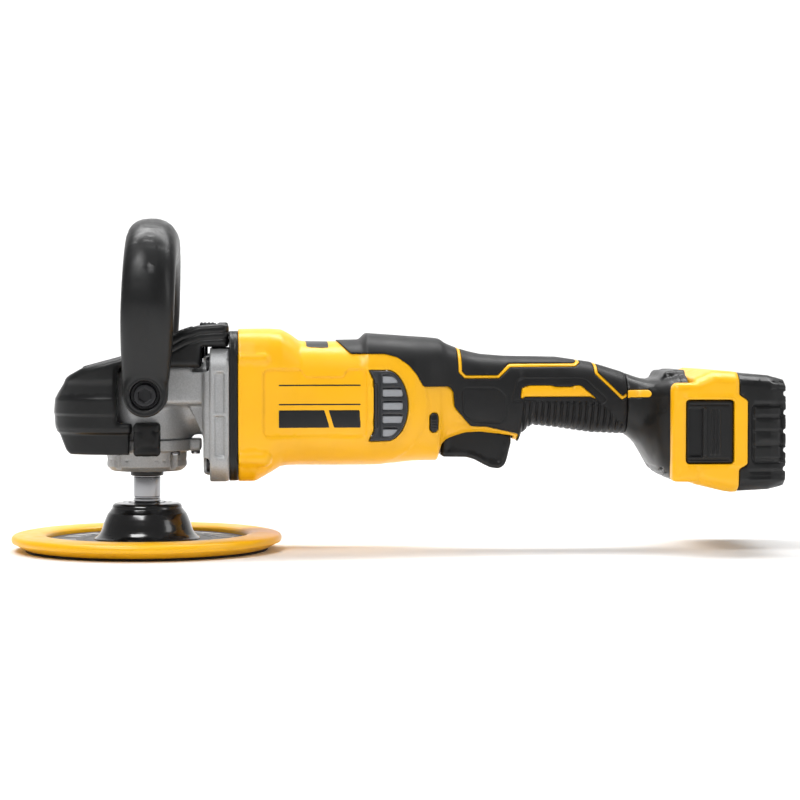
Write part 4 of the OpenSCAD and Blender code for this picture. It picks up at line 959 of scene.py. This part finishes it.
def print_blocks():
    """Ring of short raised dashes on the plate."""
    verts, quads = [], []
    for k in range(28):
        if k % 7 == 6:
            continue
        a0, a1 = 2 * math.pi * (k + 0.12) / 28, 2 * math.pi * (k + 0.88) / 28
        base = len(verts)
        for a in np.linspace(a0, a1, 6):
            for r, z in ((46, 7.1), (57, 7.1), (56.8, 7.42), (46.2, 7.42)):
                verts.append((r * math.cos(a), r * math.sin(a), z))
        for i in range(5):
            for j in range(4):
                n = base + 4 * i
                quads.append((n + j, n + 4 + j, n + 4 + (j + 1) % 4, n + (j + 1) % 4))
        quads.append((base, base + 1, base + 2, base + 3))
        quads.append((base + 23, base + 22, base + 21, base + 20))
    obj = add_mesh("pad_dashes", np.array(verts), np.array(quads))
    obj.data.set_sharp_from_angle(angle=math.radians(40))
    return obj


dress(print_blocks(), M_GREY, "output", "grey_plastic")
hub_profile = [
    (10.2, 7.2), (34.4, 7.2), (34.2, 8.0), (32.6, 9.0), (31.0, 10.6), (29.9, 12.4), (29.2, 14.0), (28.2, 17.6),
    (26.8, 21.2), (25.4, 24.2), (24.4, 25.2),
] + arc(19.6, 27.6, 3.2, -5, 90, 8) + [
    (16.2, 31.0), (15.6, 30.6), (15.0, 31.0), (12.5, 31.0), (12.3, 30.3), (10.2, 30.2),
]
nut_profile = [(7.95, 9.2), (10.2, 9.2), (10.2, 30.2), (11, 30.3), (11, 31.1), (7.95, 31.1)]
hook_profile = [(11, 0.02), (78.3, 0.02), (78.35, 1.6), (11, 1.6)]
spindle_profile = [
    (0.4, 9.6), (7.2, 9.6), (7.9, 10.4), (7.9, 31.2), (8.1, 31.2), (8.75, 31.9), (8.75, 33.6), (8.3, 33.9),
    (8.3, 34.7), (8.75, 35.0), (8.75, 47.4), (8.45, 47.7), (8.45, 48.3), (8.75, 48.6), (8.75, 54.1), (8.5, 54.1),
    (8.5, 66.6), (11.5, 66.6), (11.5, 71.2), (8, 71.2), (8, 104.5), (5, 104.5), (5, 118), (0.4, 118),
]
seal_profile = [(8.85, 48.4), (10.3, 48.4), (10.7, 48.9), (10.7, 53.8), (8.85, 53.8)]
dress(lathe("pad_boss", soften(hub_profile, 0.4), 256), M_GLOSS, "output", "gloss_black", "pad_hub")
dress(lathe("pad_nut", soften(nut_profile, 0.15), 96), M_STEEL, "output", "steel", "pad_insert")


def hook_wave(a, r, z):
    fuzz = 0.12 * math.sin(97 * a) * math.sin(41 * a + 1)
    return r + fuzz * (r > 70), z


dress(lathe("hook_sheet", soften(hook_profile, 0.3), 512, hook_wave), M_HOOK, "output", "hook_fabric",
      "pad_hook_face")
dress(lathe("spindle_shaft", soften(spindle_profile, 0.12), 128), M_STEEL, "output", "steel", "spindle")
dress(lathe("seal_ring", soften(seal_profile, 0.3), 96), M_BLACK, "tool_body", "black_rubber", "spindle_seal")

# ---------- Battery ----------

BAT_Y0, BAT_Y1 = PACK_LOW[1] - 0.6, COVER_HIGH[1]
BAT_Z = (COVER_LOW[2] + COVER_HIGH[2]) / 2
BAT_Z0, BAT_Z1 = COVER_LOW[2], COVER_HIGH[2]
DECK_X, PACK_END = FOOT_END + 0.4, PACK_HIGH[0]
PACK_SCREWS = [(y, z) for y in (BAT_Y0 + 10, BAT_Y1 - 10) for z in (BAT_Z0 + 10, BAT_Z1 - 10)]


def pack_block(x, y, z, low, high, r):
    """Block placed from the pack's near end in Y, and from its middle in Z."""
    return block(x, y - BAT_Y0, z - BAT_Z, low, high, r)


def pack_split(y, z):
    """X of the stepped joint between the yellow cover and the black case."""
    dz = z - BAT_Z
    step = ease((24.5 - np.abs(dz + 0.5)) / 5)
    end = ease((np.abs(y) - 20) / 14)
    return 377.6 + 5.4 * step * (0.35 + 0.65 * end)


def pack_envelope(x, y, z, inset):
    """Block with chamfered ends: lower towards both ends of Y, and sloping down towards its base."""
    top = BAT_Z1 - inset - np.clip(x - 360, 0, 60) * 0.075 - np.clip(362 - x, 0, 20) * 0.45
    low = BAT_Z0 + inset + np.clip(x - 380, 0, 60) * 0.05 + np.clip(372 - x, 0, 30) * 0.24
    mid, half = (top + low) / 2, (top - low) / 2
    h = -np.minimum(y - (BAT_Y0 + inset), (BAT_Y1 - inset) - y)
    v = np.abs(z - mid) - half
    bevel = 0.832 * v + 0.555 * (h + 7.5)
    return meet(meet(v, bevel, 1.6), h, 2.4)


def cover_battery_shape(x, y, z):
    d = pack_envelope(x, y, z, 0.0)
    panel = np.maximum(np.abs(z - BAT_Z) - 23.2, np.abs(x - 350) - 36)
    d = d - 0.5 * ease(-panel / 0.8) * (y < -50)
    far_corner = 14 * ease((y - 40) / 17)
    d = meet(d, slab(x, DECK_X, 390), 1.6)
    d = meet(d, DECK_X + far_corner - x, 1.6)
    d = meet(d, x - pack_split(y, z), 0.5)
    tower = pack_block(x, y, z, (334.8, 0, -32), (353, 12.5, 31), 4.2)
    tower = np.maximum(tower, -pack_block(x, y, z, (330, -5, -40), (339.5, 20, -21), 3))
    d = blend(d, tower, 1.2)
    d = blend(d, pack_block(x, y, z, (334.8, 0.4, -32), (352, 12, -20), 2.5), 1.0)
    neck = pack_block(x, y, z, (342.4, 14.5, -19.6), (351, 94.5, 19.6), 0.6)
    wide = pack_block(x, y, z, (342.4, 14.5, -24.6), (345.1, 94.5, 24.6), 0.6)
    d = np.minimum(d, np.minimum(neck, wide))
    for sz in (-9, -3, 3, 9):
        d = cut(d, block(x, y, z, (338, -13, BAT_Z + sz - 1), (346.6, 39, BAT_Z + sz + 1), 0.3), 0.2)
    window = rect(x, z - BAT_Z, (343.4, -20.8), (374.6, 20.4), 2.6)
    d = cut(d, np.maximum(window, y - (BAT_Y0 + 8.6)), 0.9)
    frame_line = np.abs(rect(x, z - BAT_Z, (341.4, -22.8), (376.2, 22.4), 4)) - 0.1
    return d + 0.25 * ease(1 - frame_line / 0.5) * (y < BAT_Y0 + 3)


def case_battery_shape(x, y, z):
    taper = np.clip(x - 398, 0, 12) * 0.22
    d = pack_envelope(x, y, z, 0.7) + taper
    near = np.minimum(y - BAT_Y0, BAT_Y1 - y)
    h = z - BAT_Z
    rows = np.abs((h + 4.5) % 9 - 4.5)
    panel = rect(x, h, (386.7, -19.8), (405.6, 16.2), 2)
    on_end = near < 6
    d = d + 1.3 * ease(1 - (np.abs(panel) - 0.4) / 0.7) * on_end
    pads = ease((rows - 0.5) / 0.7)
    d = d + 0.8 * (1 - pads) * ease(-panel / 0.6) * on_end
    d = d - 0.5 * ease((x - 404.2) / 0.8) * ease(21 - np.abs(h)) * pads * on_end
    for dz in (-29.5, -25.6, 27.0, 31.0):
        d = d + 0.5 * ease(1 - (np.abs(h - dz) - 0.2) / 0.5) * ease((x - 384) / 2) * on_end
    flat = np.abs(h) > 30
    d = d + 0.5 * ease(1 - (np.abs((x - 388.0) % 5.2 - 2.6) - 0.25) / 0.5) * flat * (near > 12) * (x > 385)
    end = slab(x, 300, PACK_END)
    for k in range(5):
        rib = np.abs(h + 24 - 12 * k) - 1.4
        end = end + 1.6 * ease(0.5 - rib / 0.8)
    d = meet(d, end, 1.4)
    d = meet(d, pack_split(y, z) + 0.35 - x, 0.5)
    for place in PACK_SCREWS:
        d = cut(d, rod(y, z, x, place, 2.9, PACK_END - 2.2, PACK_END + 5), 0.3)
    return d


def release_shape(x, y, z):
    low, high = node_box("battery_release")
    face = BAT_Y0 + 1.4
    d = block(x, y, z, (low[0], face, low[2]), (high[0], face + 3.6, high[2]), 1.4)
    pocket = rect(x, z - BAT_Z, (345.4, -16), (354.6, 15), 1.2)
    d = cut(d, np.maximum(pocket, y - face - 2.2), 0.5)
    d = np.minimum(d, pack_block(x, y, z, (354.3, 0.6, -16.4), (357.2, 3.4, 15.4), 0.8))
    for x0 in (359.5, 362.0, 364.5):
        d = np.minimum(d, pack_block(x, y, z, (x0, 0.8, -15), (x0 + 1.3, 2.4, 14), 0.5))
    for z0 in (-18.4, 16.7):
        d = cut(d, pack_block(x, y, z, (346, 0, z0), (372, 1.9, z0 + 1), 0.4), 0.2)
    return d


for name, shape, x0, x1, finish, slot, node in (
    ("pack_cover", cover_battery_shape, 334, 385, M_YELLOW, "yellow_plastic", "battery_cover"),
    ("pack_case", case_battery_shape, 376, PACK_END, M_BLACK, "black_plastic", "battery_case"),
):
    low, high = (x0, BAT_Y0 - 0.6, BAT_Z0 - 1), (x1, BAT_Y1 + 0.6, BAT_Z1 + 1)
    dress(solid(name, shape, low, high, PITCH), finish, "battery", slot, node)
dress(solid("release_latch", release_shape, (343, BAT_Y0 + 0.4, BAT_Z - 21), (375, BAT_Y0 + 5.2, BAT_Z + 21), 0.4),
      M_BLACK, "release", "black_plastic", "battery_release")

# ---------- Screws, and the finish of the CAD nodes that stay ----------


def screws(name, sizes, places, axis, finish, body_name, slot, node):
    """Socket screws: heads end at each place and look along axis, shanks run the other way.

    sizes is the head's radius and height, and the shank's radius and length.
    """
    head_r, head_h, shank_r, shank_l = sizes

    def shape(x, y, z):
        r = np.hypot(x, y)
        d = meet(r - head_r, slab(z, -head_h, 0), min(0.5, head_h * 0.3))
        turn = np.arctan2(y, x)
        lobes = r - head_r * (0.46 + 0.07 * np.cos(6 * turn))
        d = cut(d, np.maximum(lobes, -z - head_h * 0.65), 0.15)
        return np.minimum(d, meet(r - shank_r, slab(z, -head_h - shank_l, -head_h + 0.4), 0.3))

    pitch = 0.28
    one = solid(name, shape, (-head_r, -head_r, -head_h - shank_l), (head_r, head_r, 0), pitch, 0.5)
    mesh = one.data
    co = np.zeros(len(mesh.vertices) * 3, np.float32)
    mesh.vertices.foreach_get("co", co)
    co = co.reshape(-1, 3) / MM
    spin = Vector(axis).to_track_quat("Z", "Y").to_matrix()
    turned = co @ np.array(spin).T
    polys = [list(p.vertices) for p in mesh.polygons]
    tris = np.array([p for p in polys if len(p) == 3], int).reshape(-1, 3)
    quads = np.array([p for p in polys if len(p) == 4], int).reshape(-1, 4)
    bpy.data.objects.remove(one)
    verts = np.concatenate([turned + np.array(p) for p in places])
    count = len(co)
    tris = np.concatenate([tris + count * i for i in range(len(places))])
    quads = np.concatenate([quads + count * i for i in range(len(places))])
    obj = add_mesh(name, verts, [p for p in (tris, quads) if len(p)])
    obj.data.set_sharp_from_angle(angle=math.radians(35))
    return dress(obj, finish, body_name, slot, node)


flange_places = [(39, y, z) for y in (-FLANGE_SCREW_Y, FLANGE_SCREW_Y) for z in FLANGE_SCREW_Z]
screws("flange_bolts", (4.3, 3.9, 2.2, 20), flange_places, (-1, 0, 0), M_SCREW, "tool_body", "dark_steel",
       "flange_screws")
screws("shell_screws", (3.1, 3.0, 1.6, 14), [(x, 14.02, z) for x, z in SCREWS], (0, 1, 0), M_STEEL, "tool_body",
       "steel", "housing_screws")
screws("bumper_screws", (2.4, 1.6, 1.2, 6), [(x, y, 62.7) for x in PAD_SCREW_X for y in (-PAD_SCREW_Y, PAD_SCREW_Y)],
       (0, 0, -1), M_STEEL, "tool_body", "steel", "side_pad_screws")
screws("collar_bolts", (3.0, 2.6, 1.9, 6), [(x, y, 62.4) for x, y in COLLAR_SCREWS], (0, 0, -1), M_STEEL, "tool_body",
       "steel", "collar_screws")
screws("pack_screws", (2.6, 1.6, 1.4, 10), [(PACK_END - 0.45, y, z) for y, z in PACK_SCREWS], (1, 0, 0), M_STEEL,
       "battery", "steel", "battery_screws")

for name, node in frame["nodes"].items():
    if node.hide_render:
        continue
    slots = [m.name.split(".")[0] for m in node.data.materials if m]
    finish = next((BY_SLOT[slot] for slot in slots if slot in BY_SLOT), M_STEEL)
    if name == "bail_washers":
        finish = M_SCREW
    node.data.materials.clear()
    node.data.materials.append(finish)

# ---------- Floor, light and camera ----------


def studio():
    floor_mat = bpy.data.materials.new("paper_floor")
    floor_mat.use_nodes = True
    shader = floor_mat.node_tree.nodes["Principled BSDF"]
    shader.inputs["Base Color"].default_value = (0.86, 0.86, 0.86, 1)
    shader.inputs["Roughness"].default_value = 0.9
    # a paper sweep: flat floor that curves up behind the object
    rows = [(-6.0, 0.0), (1.6, 0.0)] + [(1.6 + 1.4 * math.sin(a), 1.4 - 1.4 * math.cos(a)) for a in
                                        np.radians(np.arange(6, 91, 6))] + [(3.0, 5.0)]
    mesh = bpy.data.meshes.new("floor")
    mesh.from_pydata([(x, y, z) for y, z in rows for x in (-6, 6)], [],
                     [(2 * i, 2 * i + 1, 2 * i + 3, 2 * i + 2) for i in range(len(rows) - 1)])
    mesh.shade_smooth()
    floor = bpy.data.objects.new("floor", mesh)
    floor.data.materials.append(floor_mat)
    bpy.context.scene.collection.objects.link(floor)

    def lamp(name, place, aim, size, power):
        data = bpy.data.lights.new(name, "AREA")
        data.shape = "RECTANGLE"
        data.size, data.size_y = size
        data.energy = power
        obj = bpy.data.objects.new(name, data)
        obj.location = place
        obj.rotation_euler = (Vector(aim) - Vector(place)).to_track_quat("-Z", "Y").to_euler()
        bpy.context.scene.collection.objects.link(obj)
        return obj

    middle = (0.16, 0, 0.09)
    lamps = [
        lamp("key", (-0.55, -1.0, 1.5), middle, (0.9, 0.5), 19),
        lamp("top", (0.2, 0.35, 1.3), middle, (1.8, 0.5), 17),
        lamp("side", (1.7, -0.9, 0.7), middle, (0.5, 1.0), 5),
        lamp("paper", (0.2, 0.9, 2.6), (0.2, 2.8, 0.6), (3.0, 0.8), 75),
    ]
    world = bpy.data.worlds.new("studio")
    world.use_nodes = True
    world.node_tree.nodes["Background"].inputs["Color"].default_value = (1, 1, 1, 1)
    world.node_tree.nodes["Background"].inputs["Strength"].default_value = 0.24
    bpy.context.scene.world = world


CAMERA_PLACE, CAMERA_AIM, LENS = (0.0604, -1.49561, 0.14417), (0.16499, 0, 0.09706), 103.0  # as in the photo


def camera():
    data = bpy.data.cameras.new("camera")
    data.lens = LENS
    data.sensor_width = 36.0
    data.clip_end = 50
    obj = bpy.data.objects.new("camera", data)
    obj.location = CAMERA_PLACE
    obj.rotation_euler = (Vector(CAMERA_AIM) - Vector(CAMERA_PLACE)).to_track_quat("-Z", "Y").to_euler()
    bpy.context.scene.collection.objects.link(obj)
    bpy.context.scene.camera = obj


studio()
camera()
bpy.context.scene.view_settings.view_transform = "Standard"
